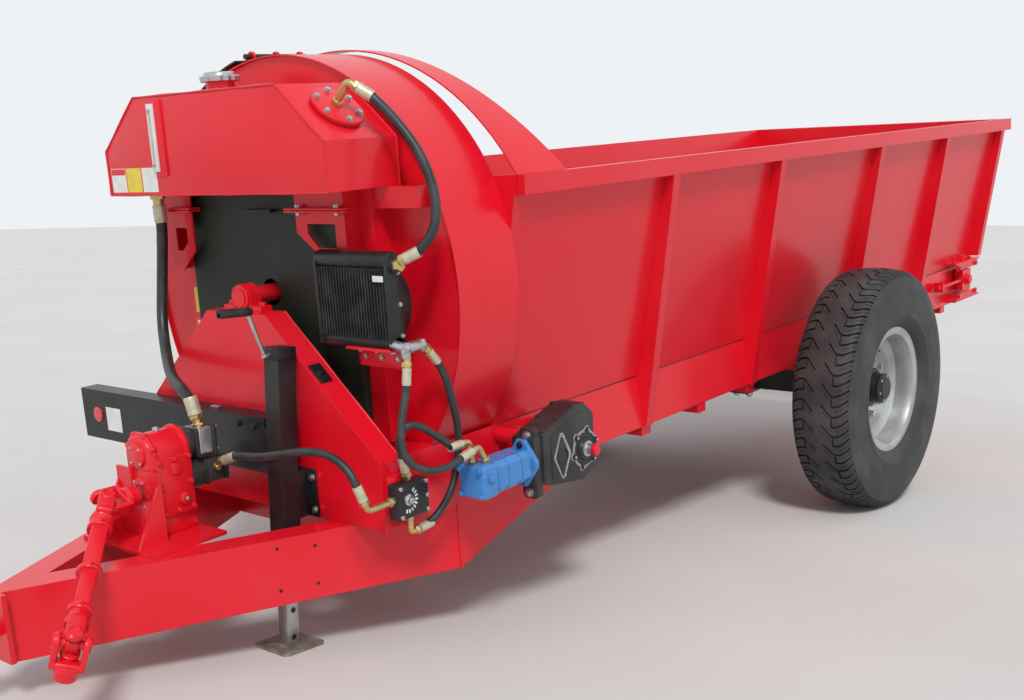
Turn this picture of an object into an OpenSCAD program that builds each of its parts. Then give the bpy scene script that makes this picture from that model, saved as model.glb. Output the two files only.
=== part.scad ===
// Towed side-discharge manure spreader with a V-shaped box and a front rotor.
// Everything is drawn in the machine's own frame and then set down on its wheels and jack.
// Machine frame: x runs rearward from the axle centre, y to the machine's right, z up.

/* [Stance] */
// Nose-down angle at which the machine parks on its jack, degrees
stance_pitch = 4.8; // [0:0.1:6]

/* [Box] */
// Front end of the box ahead of the axle
box_front = 2320; // [2200:10:2500]
// Rear end of the box behind the axle
box_rear = 2070; // [1950:10:2400]
// Half width over the top rim
rim_half = 812; // [780:2:860]
// Height of the rim's top above the axle centre
rim_z = 1145; // [1050:5:1250]
// Depth of the rim's outer face
rim_depth = 64; // [40:2:90]
// Width of the rim, from the wall outward
rim_lip = 28; // [20:1:40]
// Overhang of the rim behind the rear wall
rim_tail = 100; // [60:5:120]
// Half width where the sloped wall meets the side plate
joint_half = 616; // [590:2:630]
// Height of that weld above the axle centre
joint_z = 317; // [300:1:340]
// Half width at the side plate's lower edge
base_half = 636; // [632:1:660]
// Height of the side plate's lower edge
base_z = 115; // [105:1:125]
// Thickness of the box plates
plate_t = 5; // [4:0.5:8]

/* [Ribs] */
// Distance of the last rib ahead of the box's rear end
rib_last = 46; // [30:1:60]
// Spacing of the ribs
rib_pitch = 828; // [810:2:840]
// Bay between the two ribs that stand beside the wheel
axle_bay = 998; // [960:2:1030]
// Width of a rib's outer flange
rib_flange = 45; // [30:1:46]

/* [Drum] */
// Outside radius of the rotor drum
drum_r = 769; // [750:1:780]
// Height of the drum's axis above the axle centre
drum_z = 796; // [780:1:810]
// Front edge of the drum band ahead of the axle
drum_front = 2608; // [2560:2:2640]
// Set-back of the drum's front plate behind the band's edge
drum_lip = 12; // [6:1:20]
// Radius of the rotor's tips
rotor_r = 735; // [700:1:740]
// Radius of the rotor's shaft
shaft_r = 30; // [25:1:35]
// Lower edge of the discharge opening, degrees above the drum's side
outlet_low = 12; // [5:1:20]
// Upper edge of the discharge opening, degrees above the drum's side
outlet_high = 72; // [60:1:76]
// Clearance between the discharge door and the drum
door_gap = 14; // [10:1:20]
// Centre height of the arch hoop above the axle centre
hoop_z = 654; // [640:1:665]
// Length of the arch hoop along the box
hoop_w = 222; // [150:2:260]

/* [Drawbar] */
// Place of the drawbar's nose ahead of the axle
nose_x = 3790; // [3700:10:3900]
// Place where the drawbar beams join the side plates
seam_x = 2543; // [2500:1:2600]
// Height of the beams' top face
beam_top = 102; // [95:1:108]
// Depth of the beams
beam_depth = 215; // [180:5:230]
// Width of each beam
beam_w = 95; // [70:1:110]
// Half width of the drawbar's nose
nose_half = 26; // [20:1:34]
// Radius of the tow eye's hole
eye_r = 25; // [20:1:30]

/* [Wheels] */
// Tyre radius
tyre_r = 553; // [530:1:570]
// Tyre width
tyre_w = 288; // [260:2:296]
// Rim width over the flanges
wheel_w = 216; // [200:2:230]
// Outer flange plane of the wheels from the middle
wheel_face = 1029; // [1020:1:1060]
// Rim flange radius
flange_r = 292; // [285:1:300]
// Bead seat radius
bead_r = 254; // [250:1:258]
// Side of the square axle
axle_side = 100; // [80:2:110]

/* [Rotor stand and guard] */
// Front face of the rotor stand ahead of the axle
stand_x = 2860; // [2850:1:2880]
// Depth of the stand's folded edge
stand_depth = 78; // [60:1:85]
// Half width of the stand's flat top
stand_top_half = 150; // [120:1:170]
// Height of the stand's top
stand_top_z = 752; // [740:1:756]
// Height of the folded shoulder
stand_shoulder_z = 322; // [300:1:340]

/* [Tank and cooler] */
// Half width of the oil tank
tank_half = 558; // [500:2:600]
// Half width of the tank's top
tank_top_half = 362; // [300:2:400]
// Height of the tank's bottom
tank_z = 1138; // [1132:1:1150]
// Height of the tank
tank_h = 318; // [280:1:330]
// Height of the tank's upright sides
tank_side_h = 148; // [100:1:170]
// Front face of the tank ahead of the axle
tank_front = 2905; // [2880:1:2920]
// Width of the oil cooler
cooler_w = 322; // [280:2:340]
// Height of the oil cooler
cooler_h = 285; // [260:1:300]

/* [Conveyor] */
// Height of the conveyor shafts
conveyor_z = 240; // [236:1:246]
// Sprocket radius at the chain's inner side
sprocket_r = 62; // [60:1:64]
// Front conveyor shaft ahead of the axle
conveyor_front = 2112; // [2080:1:2140]
// Rear conveyor shaft behind the axle
conveyor_rear = 1880; // [1820:1:1920]
// Spacing of the conveyor's slats
slat_pitch = 420; // [300:5:500]

/* [Jack] */
// Place of the jack ahead of the axle
jack_x = 2965; // [2955:1:2985]
// Distance of the jack from the middle
jack_y = 268; // [262:1:269]
// Side of the jack's post
jack_side = 68; // [66:1:70]
// Stroke left in the jack's leg
jack_stroke = 120; // [80:5:125]

/* [Drive line] */
// Height of the input shaft
pto_z = 250; // [240:1:260]
// Front face of the input gearbox ahead of the axle
pto_x = 3285; // [3270:1:3300]

/* [Hidden] */
$fn = 64;

paint_red = [0.80, 0.06, 0.09];
paint_black = [0.08, 0.08, 0.09];
olive = [0.15, 0.17, 0.13];
silver = [0.75, 0.76, 0.77];
motor_blue = [0.16, 0.45, 0.75];
rubber = [0.09, 0.09, 0.10];
brass = [0.78, 0.66, 0.38];

// Running clearance of a shaft in its bearing
fit = 0.3;

// Rear edge of the drum, where the bulkhead plate stands
bulkhead_x = -box_front - plate_t;
wall_top = rim_half - rim_lip;
wall_slope = (wall_top - joint_half) / (rim_z - joint_z);
beam_low = beam_top - beam_depth;
frame_low = 75;
floor_top = conveyor_z + sprocket_r - 2;
drum_back = box_front + plate_t;
hoop_r = norm([wall_top, rim_z - hoop_z]);
side_lean = (base_half - joint_half) / (joint_z - base_z);
rib_places = [for (i = [0:4]) box_rear - rib_last - (4 - i) * rib_pitch - (i < 2 ? axle_bay - rib_pitch : 0)];

// Rear edge of the rotor stand's folds, where the side plates start
stand_t = 8;
stand_back = -stand_x + stand_depth + stand_t;

// Row frame: the origin lies on the floor under the middle of the whole length
eye_x = nose_x + 110;
eye_ring_r = 58;
eye_half_h = 17;
eye_z = -6;
front_reach = (eye_x + eye_ring_r) * cos(stance_pitch) + (eye_half_h + eye_z) * sin(stance_pitch);
rear_reach = max((box_rear + rim_tail) * cos(stance_pitch) - (rim_z - rim_depth) * sin(stance_pitch),
    box_rear * cos(stance_pitch) - base_z * sin(stance_pitch));
origin_x = (front_reach - rear_reach) / 2;

module stand() {
    translate([origin_x, 0, tyre_r]) rotate([0, -stance_pitch, 0]) children();
}

// Place in the row frame of a point given in the machine frame
function stood(p) = [p[0] * cos(stance_pitch) - p[2] * sin(stance_pitch) + origin_x, p[1],
    p[0] * sin(stance_pitch) + p[2] * cos(stance_pitch) + tyre_r];

module block(low, high) {
    translate(low) cube(high - low);
}

// Plate with its outline in y and z, from x toward the rear
module cross_plate(x, t, outline) {
    translate([x, 0, 0]) rotate([90, 0, 90]) linear_extrude(t) polygon(outline);
}

// Plate with its outline in x and z, from y toward the machine's right
module long_plate(y, t, outline) {
    translate([0, y + t, 0]) rotate([90, 0, 0]) linear_extrude(t) polygon(outline);
}

module rod_x(at, r, l) {
    translate(at) rotate([0, 90, 0]) cylinder(r = r, h = l);
}

module rod_y(at, r, l) {
    translate(at) rotate([-90, 0, 0]) cylinder(r = r, h = l);
}

module rod_z(at, r, l) {
    translate(at) cylinder(r = r, h = l);
}

// Rod between two points
module rod_to(a, b, r) {
    run = b - a;
    translate(a) rotate([0, acos(run[2] / norm(run)), atan2(run[1], run[0])]) cylinder(r = r, h = norm(run));
}

// Forged elbow from a hose's end over its knee to the part it is screwed into
module elbow(hose_end, knee, port, r) {
    half = r + 2;
    x = unit(hose_end - knee);
    z = unit(cross(x, port - knee));
    y = cross(z, x);
    color(brass) {
        rod_to(hose_end, knee, r);
        multmatrix([[x[0], y[0], z[0], knee[0]], [x[1], y[1], z[1], knee[1]], [x[2], y[2], z[2], knee[2]],
            [0, 0, 0, 1]]) translate([-half, -half, -half]) cube(2 * half);
        rod_to(knee, port, r);
    }
}

// Corner of a convex outline moved in by t, the outline running counterclockwise
function unit(v) = v / norm(v);
function left_of(v) = [-v[1], v[0]];
function corner_in(a, b, c, t) = let (m = left_of(unit(b - a)), n = left_of(unit(c - b))) b + t * (m + n) / (1 + m * n);
function inset(p, t) = [for (i = [0:len(p) - 1]) corner_in(p[(i + len(p) - 1) % len(p)], p[i], p[(i + 1) % len(p)], t)];
function arc(r, a, b, n) = [for (i = [0:n]) [r * cos(a + (b - a) * i / n), r * sin(a + (b - a) * i / n)]];

// Half width of the sloped wall's outer face at a height
function wall_half(z) = joint_half + wall_slope * (z - joint_z);

// Drawbar
drawbar_run = [-(nose_x - seam_x), base_half - nose_half];
function beam_inner_y(x) = -base_half + drawbar_run[1] * (x + seam_x) / drawbar_run[0] + beam_w / abs(unit(drawbar_run)[0]);
beam_apex = -seam_x + (base_half - beam_w / abs(unit(drawbar_run)[0])) * drawbar_run[0] / drawbar_run[1];

module beam() {
    color(paint_red) translate([0, 0, beam_low]) linear_extrude(beam_depth)
        polygon([[-seam_x, -base_half], [-seam_x, beam_inner_y(-seam_x)], [beam_apex, 0], [-nose_x, 0],
            [-nose_x, -nose_half]]);
}

module drawbar_beam_left() {
    stand() beam();
}

module drawbar_beam_right() {
    stand() mirror([0, 1, 0]) beam();
}

module drawbar_nose() {
    plate = 16;
    shank = 24;
    color(paint_red) stand() {
        block([-nose_x - plate, -60, beam_low + 8], [-nose_x, 60, beam_top]);
        difference() {
            union() {
                translate([-eye_x, 0, eye_z - eye_half_h]) cylinder(r = eye_ring_r, h = 2 * eye_half_h);
                block([-eye_x, -shank, eye_z - eye_half_h], [-nose_x - plate, shank, eye_z + eye_half_h]);
            }
            translate([-eye_x, 0, eye_z - eye_half_h - 1]) cylinder(r = eye_r, h = 2 * eye_half_h + 2);
        }
    }
}

// Ladder of rails and crossmembers under the box
rail_y = 300;
rail_w = 70;
module lower_frame() {
    bar_w = 60;
    under = -30;
    under_top = 20;
    bars = concat([-box_front, (rib_places[0] - box_front) / 2], [for (i = [0:3]) each [rib_places[i],
        (rib_places[i] + rib_places[i + 1]) / 2]]);
    half = base_half - plate_t - 1;
    color(paint_red) stand() {
        for (side = [-1, 1]) {
            low_y = side * rail_y - rail_w / 2;
            high_y = side * rail_y + rail_w / 2;
            block([-box_front, low_y, frame_low], [box_rear - plate_t, high_y, base_z]);
            block([-seam_x + bar_w, low_y, under], [-box_front + bar_w, high_y, under_top]);
            block([-box_front, low_y, under_top], [-box_front + bar_w, high_y, frame_low]);
        }
        for (x = bars)
            block([x, -half, frame_low], [x + bar_w, half, base_z]);
        block([-seam_x, -base_half + plate_t, beam_low + plate_t], [-seam_x + bar_w, base_half - plate_t, under_top]);
    }
}

// Side plates: leaning panels under the walls, deepened at the front to take the drawbar beams
module side_plate() {
    rise_end = -1760;
    top_flange = 60;
    color(paint_red) difference() {
        union() {
            translate([stand_back, 0, 0]) rotate([90, 0, 90]) linear_extrude(box_rear - stand_back)
                polygon([[-joint_half, joint_z], [-base_half, base_z], [-base_half + plate_t, base_z],
                    [-joint_half + plate_t, joint_z]]);
            long_plate(-base_half, plate_t, [[-seam_x, beam_low], [rise_end, base_z], [stand_back, base_z],
                [stand_back, beam_top], [-seam_x, beam_top]]);
            block([stand_back, -joint_half, joint_z], [-drum_front - 2, -joint_half + top_flange, joint_z + plate_t]);
        }
        for (x = [-conveyor_front, conveyor_rear])
            rod_y([x, -max(base_half, joint_half) - 1, conveyor_z], shaft_r + 4,
                abs(base_half - joint_half) + 2 * plate_t + 2);
    }
}

module side_plate_left() {
    stand() side_plate();
}

module side_plate_right() {
    stand() mirror([0, 1, 0]) side_plate();
}

module box_wall() {
    color(paint_red) translate([-box_front, 0, 0]) rotate([90, 0, 90]) linear_extrude(box_front + box_rear)
        polygon([[-joint_half, joint_z], [-joint_half + plate_t, joint_z], [-wall_top + plate_t, rim_z],
            [-wall_top, rim_z]]);
}

module box_wall_left() {
    stand() box_wall();
}

module box_wall_right() {
    stand() mirror([0, 1, 0]) box_wall();
}

module box_rear_wall() {
    in = plate_t;
    color(paint_red) stand()
        cross_plate(box_rear - plate_t, plate_t, [[-wall_top + in, rim_z], [-joint_half + in, joint_z],
            [-base_half + in, base_z], [base_half - in, base_z], [joint_half - in, joint_z],
            [wall_top - in, rim_z]]);
}

// Conveyor floor with an apron sloping into the drum
module box_floor() {
    half = joint_half + (joint_z - floor_top) * side_lean - plate_t;
    apron_drop = 55;
    color(paint_red) stand() {
        block([-conveyor_front + 60, -half, floor_top - plate_t], [conveyor_rear - 60, half, floor_top]);
        block([-box_front, -half, floor_top - apron_drop - plate_t], [-conveyor_front - 130, half,
            floor_top - apron_drop]);
        block([conveyor_rear + 110, -half, floor_top - plate_t], [box_rear - plate_t, half, floor_top]);
    }
}

module top_rim() {
    low = rim_z - rim_depth;
    rim_seam = 0.05;
    color(paint_red) stand() {
        for (side = [0, 1]) mirror([0, side, 0]) translate([-box_front, 0, 0]) rotate([90, 0, 90])
            linear_extrude(box_front + box_rear + plate_t)
                polygon([[-rim_half, low], [-wall_half(low) - rim_seam, low], [-wall_top - rim_seam, rim_z],
                    [-rim_half, rim_z]]);
        difference() {
            block([box_rear, -rim_half, low], [box_rear + rim_tail, rim_half, rim_z]);
            block([box_rear + plate_t, -rim_half + plate_t, low - 1], [box_rear + rim_tail - plate_t,
                rim_half - plate_t, rim_z - plate_t]);
        }
    }
}

// Ribs: a web filling from the wall to a straight outer line, and a flange along that line
rib_foot = base_half + 14;
function rib_out(z) = rib_foot + (rim_half - rib_foot) * (z - base_z) / (rim_z - rim_depth - base_z);

module ribs() {
    top_z = rim_z - rim_depth;
    color(paint_red) for (x = rib_places) {
        low = x > conveyor_rear ? tensioner_top + 8 : base_z;
        web_low = x > conveyor_rear ? [[-wall_half(low), low]] : [[-base_half, base_z], [-joint_half, joint_z]];
        cross_plate(x, plate_t, concat([[-wall_half(top_z), top_z], [-rim_half, top_z], [-rib_out(low), low]],
            web_low));
        cross_plate(x, rib_flange, [[-rim_half, top_z], [-rib_out(low), low], [-rib_out(low) + plate_t, low],
            [-rim_half + plate_t, top_z]]);
    }
}

module ribs_left() {
    stand() ribs();
}

module ribs_right() {
    stand() mirror([0, 1, 0]) ribs();
}

module above_rim() {
    translate([-rim_half, rim_z]) square([2 * rim_half, hoop_r]);
}

module front_bulkhead() {
    open_r = drum_r - 24;
    low = conveyor_z - sprocket_r - 30;
    in = plate_t + 4;
    inner = [[-wall_top + in, rim_z + 400], [-wall_top + in, rim_z], [-joint_half + in, joint_z],
        [-base_half + in + 4, low], [base_half - in - 4, low], [joint_half - in, joint_z], [wall_top - in, rim_z],
        [wall_top - in, rim_z + 400]];
    color(paint_red) stand() translate([bulkhead_x, 0, 0]) rotate([90, 0, 90]) linear_extrude(plate_t) difference() {
        union() {
            polygon([[-wall_top, rim_z], [-joint_half, joint_z], [-joint_half + plate_t, joint_z],
                [-base_half + plate_t, base_z], [base_half - plate_t, base_z], [joint_half - plate_t, joint_z],
                [joint_half, joint_z], [wall_top, rim_z]]);
            translate([0, drum_z]) circle(r = drum_r, $fn = 96);
            intersection() {
                translate([0, hoop_z]) circle(r = hoop_r, $fn = 96);
                above_rim();
            }
        }
        intersection() {
            polygon(inner);
            translate([0, drum_z]) circle(r = open_r, $fn = 96);
        }
    }
}

module arch_hoop() {
    color(paint_red) stand() translate([-box_front, 0, 0]) rotate([90, 0, 90]) linear_extrude(hoop_w) intersection() {
        translate([0, hoop_z]) difference() {
            circle(r = hoop_r, $fn = 96);
            circle(r = hoop_r - plate_t, $fn = 96);
        }
        above_rim();
    }
}

hinge_r = drum_r + door_gap + 3;
hinge_a = outlet_high + 8;
hinge_pin_r = 9;
door_edge = 6;
door_l = drum_front - drum_back - 2 * door_edge;
lug_t = 10;
lug_step = (door_l - 60) / 2;

module drum_band() {
    color(paint_red) stand() translate([-drum_front, 0, drum_z]) rotate([90, 0, 90]) {
        linear_extrude(drum_front - drum_back) difference() {
            circle(r = drum_r, $fn = 96);
            circle(r = drum_r - plate_t, $fn = 96);
            polygon(concat([[0, 0]], arc(drum_r + 40, outlet_low, outlet_high, 8)));
        }
        for (i = [0:2]) translate([0, 0, door_edge + 30 - lug_t / 2 + i * lug_step]) linear_extrude(lug_t)
            rotate(hinge_a) difference() {
                union() {
                    translate([hinge_r, 0]) circle(r = 17);
                    translate([drum_r - 3, -14]) square([hinge_r - drum_r + 3, 28]);
                }
                translate([hinge_r, 0]) circle(r = hinge_pin_r + fit);
            }
    }
}

post_y = 452;
post_w = 74;
cover_back = 2672;
module drum_front() {
    hole_r = 46;
    shelf_half = 675;
    shelf_h = 66;
    post_low = joint_z + 10;
    face = -drum_front + drum_lip;
    color(paint_red) stand() {
        difference() {
            rod_x([face, 0, drum_z], drum_r - plate_t, plate_t, $fn = 96);
            rod_x([-drum_front, 0, drum_z], hole_r, drum_lip + plate_t + 10);
        }
        for (side = [-1, 1]) {
            block([-cover_back, side * post_y - post_w / 2, post_low], [face, side * post_y + post_w / 2, tank_z]);
            shelf = [side * (post_y + post_w / 2), side * shelf_half];
            block([-cover_back + 10, min(shelf), tank_z - shelf_h], [face, max(shelf), tank_z]);
        }
        block([-cover_back + 20, -base_half + 40, joint_z - 60], [-drum_front, base_half - 40, joint_z]);
        for (side = [-1, 1])
            block([-cover_back + 20, side * post_y - post_w / 2, joint_z], [-drum_front, side * post_y + post_w / 2,
                post_low]);
    }
}

module door_shell(from_a, to_a, l) {
    t = 6;
    r = drum_r + door_gap;
    linear_extrude(l) polygon(concat(arc(r + t, from_a, to_a, 32), arc(r, to_a, from_a, 32)));
}

module discharge_door() {
    strap_gap = lug_t + 12;
    strap_a = 4;
    color(paint_black) stand() translate([-drum_front + door_edge, 0, drum_z]) rotate([90, 0, 90]) {
        door_shell(outlet_low - 4, hinge_a - strap_a, door_l);
        for (i = [0:1]) translate([0, 0, 30 + strap_gap / 2 + i * lug_step])
            door_shell(hinge_a - strap_a, hinge_a, lug_step - strap_gap);
        rotate(hinge_a) translate([hinge_r, 0, 0]) cylinder(r = hinge_pin_r, h = door_l);
    }
}

// Rotor: shaft, hub and arms with throwing paddles
rotor_front = drum_front - drum_lip - plate_t - 12;
rotor_back = drum_back + 16;
module rotor() {
    color(paint_red) stand() translate([0, 0, drum_z]) {
        rod_x([-stand_x + 20, 0, 0], shaft_r, stand_x - 20 - rotor_back);
        rod_x([-rotor_front, 0, 0], 110, 90);
        for (i = [0:3]) rotate([i * 90 + 25, 0, 0]) {
            block([-rotor_front + 4, -40, 90], [-rotor_front + 16, 40, rotor_r - 60]);
            block([-rotor_front, 30, 260], [-rotor_back, 40, rotor_r]);
        }
    }
}

block_x = 2805;
module bearing_block() {
    w = 46;
    color(paint_red) stand() difference() {
        union() {
            rod_x([-block_x - w / 2, 0, drum_z], drum_z - stand_top_z, w);
            block([-block_x - w / 2, -96, stand_top_z], [-block_x + w / 2, 96, stand_top_z + 18]);
            block([-block_x - w / 2, -46, stand_top_z], [-block_x + w / 2, 46, drum_z]);
        }
        rod_x([-block_x - w, 0, drum_z], shaft_r + fit, 2 * w);
    }
}

stand_outline = [[-base_half + 6, beam_top], [base_half - 6, beam_top], [base_half - 6, stand_shoulder_z],
    [stand_top_half, stand_top_z], [-stand_top_half, stand_top_z], [-base_half + 6, stand_shoulder_z]];
module rotor_stand() {
    t = stand_t;
    color(paint_red) stand() difference() {
        cross_plate(-stand_x, stand_depth + t, stand_outline);
        cross_plate(-stand_x + t, stand_depth + 1, inset(stand_outline, t));
        block([-stand_x + t, -base_half, beam_top - 1], [stand_back + 1, base_half, beam_top + t + 1]);
    }
}

cover_half = 415;
cover_front = 2700;
module chain_cover() {
    top = tank_z - 12;
    low = joint_z + 10;
    sheet = 6;
    handle_z = top - 57;
    back = -drum_front + drum_lip;
    color(olive) stand() difference() {
        union() {
            block([-cover_front, -cover_half, low], [back, cover_half, top]);
            block([-cover_front - 34, -75, handle_z - 5], [-cover_front - 24, 75, handle_z + 5]);
            for (y = [-60, 60]) block([-cover_front - 34, y - 5, handle_z - 5], [-cover_front, y + 5, handle_z + 5]);
        }
        block([-cover_front + sheet, -cover_half + sheet, low + sheet], [back + 1, cover_half - sheet, top - sheet]);
        rod_x([-cover_front - 1, 0, drum_z], 46, sheet + 2);
    }
}

// Lamp and guard beam across the machine's right front
guard_top = 430;
guard_low = 245;
guard_right = 890;
guard_left = 180;
module guard_beam() {
    color(paint_black) stand() {
        difference() {
            block([-stand_x - 70, -guard_left, guard_low], [-stand_x, guard_right, guard_top]);
            block([-stand_x - 64, -guard_left + 30, guard_low + 6], [-stand_x + 1, guard_right - 6, guard_top - 6]);
        }
        block([-stand_x - 70, -guard_left - 44, guard_low - 80], [-stand_x, -guard_left, guard_top - 30]);
    }
}

tank_outline = [[-tank_half, tank_z], [tank_half, tank_z], [tank_half, tank_z + tank_side_h],
    [tank_top_half, tank_z + tank_h], [-tank_top_half, tank_z + tank_h], [-tank_half, tank_z + tank_side_h]];
tank_back = drum_front + 3;
slope_angle = atan((tank_h - tank_side_h) / (tank_half - tank_top_half));
module oil_tank() {
    mid_y = -(tank_half + tank_top_half) / 2;
    mid_z = tank_z + (tank_h + tank_side_h) / 2;
    cap = [-2765, 70, tank_z + tank_h];
    flange = [-2760, mid_y, mid_z];
    out = [0, -sin(slope_angle), cos(slope_angle)];
    knee = knee_before(route_tank, 2, 40);
    color(paint_red) stand() {
        cross_plate(-tank_front, tank_front - tank_back, tank_outline);
        translate(flange) rotate([slope_angle, 0, 0]) cylinder(r = 62, h = 16);
        rod_z(cap, 30, 24);
        block([-tank_front - 12, 236, tank_z + 70], [-tank_front, 268, tank_z + 300]);
    }
    color(silver) stand() rod_z(cap + [0, 0, 24], 46, 18);
    stand() {
        elbow(route_tank[0], knee, knee - ((knee - flange) * out) * out, 15);
        color(brass) rod_to(route_suction[0], knee_before(route_suction, 1, 48), 19);
    }
}

module tank_brackets() {
    t = 8;
    front = -2736;
    right = -430;
    right_low = 905;
    left_low = 860;
    color(paint_red) stand() {
        difference() {
            cross_plate(front, t, [[right, tank_z], [right, right_low], [right + 90, right_low], [right + 228, 1000],
                [right + 228, tank_z]]);
            cross_plate(front - 1, t + 2, [[right + 45, 1030], [right + 45, 955], [right + 130, 955],
                [right + 175, 1000], [right + 175, 1030]]);
        }
        block([front, right, right_low], [-cover_back, right + 12, tank_z]);
        difference() {
            cross_plate(front, t, [[350, tank_z], [350, 930], [430, left_low], [500, left_low], [500, tank_z]]);
            cross_plate(front - 1, t + 2, [[385, 1010], [385, 960], [420, 930], [450, 930], [450, 1010]]);
        }
        block([front, 476, left_low], [-cover_back, 488, tank_z]);
    }
}

cooler_x = 2800;
cooler_y = -500;
cooler_z = 662;
module cooler() {
    front = -cooler_x;
    side = cooler_y - cooler_w / 2;
    shroud = [front + 62, cooler_y - 10, cooler_z + cooler_h / 2 - 14];
    tee = [front + 15, side - 39, cooler_z + 8];
    shelf = cooler_z - 8;
    arm_y = -post_y + post_w / 2 - 15;
    color(paint_black) stand() {
        block([front, side, cooler_z], [front + 62, cooler_y + cooler_w / 2, cooler_z + cooler_h - 20]);
        rod_y([front + 31, side - 4, cooler_z + cooler_h - 20], 29, cooler_w + 8);
        rod_x(shroud, 120, 34);
        rod_x(shroud + [34, 0, 0], 60, 24);
    }
    color(paint_red) stand() {
        block([front, side + 10, shelf], [front + 62, arm_y + 12, cooler_z]);
        block([front + 52, side + 20, shelf - 60], [front + 60, arm_y + 12, shelf]);
        block([front + 52, arm_y, shelf - 60], [-cover_back, arm_y + 12, shelf]);
    }
    stand() {
        color(brass) {
            rod_to(last(route_tank), knee_after(route_tank, 2, 50), 15);
            rod_to(route_cooler[0], knee_before(route_cooler, 1, 58), 12);
            rod_to(route_return[0], knee_before(route_return, 2, 32), 12);
        }
        color(silver) {
            rod_to([front + 31, side + 5, tee[2]], [front + 31, tee[1], tee[2]], 15);
            rod_to(tee + [-10, 0, 0], tee + [75, 0, 0], 15);
        }
    }
}

module flow_valve() {
    valve_x = 2800;
    low = 150;
    top = 262;
    in = -base_half - 20;
    out = in - 44;
    pump_knee = knee_after(route_pump, 2, 34);
    return_knee = knee_after(route_return, 2, 34);
    color(paint_black) stand() block([-valve_x - 66, out, low], [-valve_x + 66, in, top]);
    color(paint_red) stand() block([-valve_x - 50, in, low + 20], [-valve_x + 20, -base_half + 6, top + 18]);
    stand() {
        elbow(last(route_pump), pump_knee, [-valve_x - 60, pump_knee[1], pump_knee[2]], 13);
        color(brass) rod_to(route_feed[0], knee_before(route_feed, 1, 32), 12);
        elbow(last(route_return), return_knee, [return_knee[0], return_knee[1], low + 4], 12);
    }
}

gear_x = 2210;
gear_y = -730;

// Space inside the leaning side plates, cut from parts that are seated on them
module between_plates() {
    translate([stand_back, 0, 0]) rotate([90, 0, 90]) linear_extrude(box_rear - stand_back + 50)
        polygon([[-joint_half - 60 * side_lean, joint_z + 60], [-base_half - 60 * side_lean, base_z - 60],
            [0, base_z - 60], [0, joint_z + 60]]);
}

module conveyor_gearbox() {
    depth = 110;
    color(paint_black) stand() difference() {
        long_plate(gear_y - depth, depth, [[-gear_x - 110, 130], [-gear_x + 60, 100], [-gear_x + 160, 110],
            [-gear_x + 190, 150], [-gear_x + 190, 300], [-gear_x + 150, 340], [-gear_x + 20, 340],
            [-gear_x - 130, 290], [-gear_x - 130, 160]]);
        rod_y([-conveyor_front, gear_y - 30, conveyor_z], shaft_r + fit, 40);
    }
    color(paint_red) stand() difference() {
        union() {
            rod_y([-gear_x - 95, gear_y, 285], 24, -gear_y - joint_half);
            rod_y([-conveyor_front, gear_y, conveyor_z], 60, -gear_y - joint_half);
        }
        rod_y([-conveyor_front, gear_y - 1, conveyor_z], shaft_r + 10, 200);
        between_plates();
    }
}

module hydraulic_motor() {
    at = [-gear_x - 130, gear_y - 55, 225];
    cap_half = 54;
    color(motor_blue) stand() {
        block(at + [-20, -62, -62], at + [0, 62, 62]);
        rod_x(at + [-220, 0, 0], 52, 200);
        block(at + [-290, -cap_half, -cap_half], at + [-220, cap_half, cap_half]);
    }
    stand() {
        elbow(last(route_cooler), knee_after(route_cooler, 1, 80), [-2560, -805, at[2] + cap_half - 4], 12);
        elbow(last(route_feed), knee_after(route_feed, 1, 48), [-2602, -775, at[2] + cap_half - 4], 12);
    }
}

module conveyor_shafts() {
    inner_end = joint_half - plate_t - 8;
    color(paint_red) stand() {
        rod_y([-conveyor_front, gear_y - 10, conveyor_z], shaft_r, inner_end - gear_y + 10);
        rod_y([conveyor_rear, -base_half - 30, conveyor_z], shaft_r, 2 * base_half + 60);
        for (x = [-conveyor_front, conveyor_rear]) for (side = [-1, 1])
            rod_y([x, side * chain_y - 8, conveyor_z], sprocket_r - fit, 16);
    }
}

chain_y = 420;
chain_t = 20;
module floor_chain() {
    run = conveyor_front + conveyor_rear;
    color([0.35, 0.33, 0.32]) stand() {
        for (side = [-1, 1]) translate([0, side * chain_y + 15, 0]) rotate([90, 0, 0]) linear_extrude(30)
            difference() {
                chain_loop(sprocket_r + chain_t);
                chain_loop(sprocket_r);
            }
        for (x = [-conveyor_front + 60:slat_pitch:conveyor_rear - 20]) {
            block([x, -joint_half + 30, conveyor_z + sprocket_r + chain_t], [x + 45, joint_half - 30,
                conveyor_z + sprocket_r + chain_t + 24]);
            block([x, -joint_half + 30, conveyor_z - sprocket_r - chain_t - 24], [x + 45, joint_half - 30,
                conveyor_z - sprocket_r - chain_t]);
        }
    }
}

module chain_loop(r) {
    translate([-conveyor_front, conveyor_z]) circle(r = r);
    translate([conveyor_rear, conveyor_z]) circle(r = r);
    translate([-conveyor_front, conveyor_z - r]) square([conveyor_front + conveyor_rear, 2 * r]);
}

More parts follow.
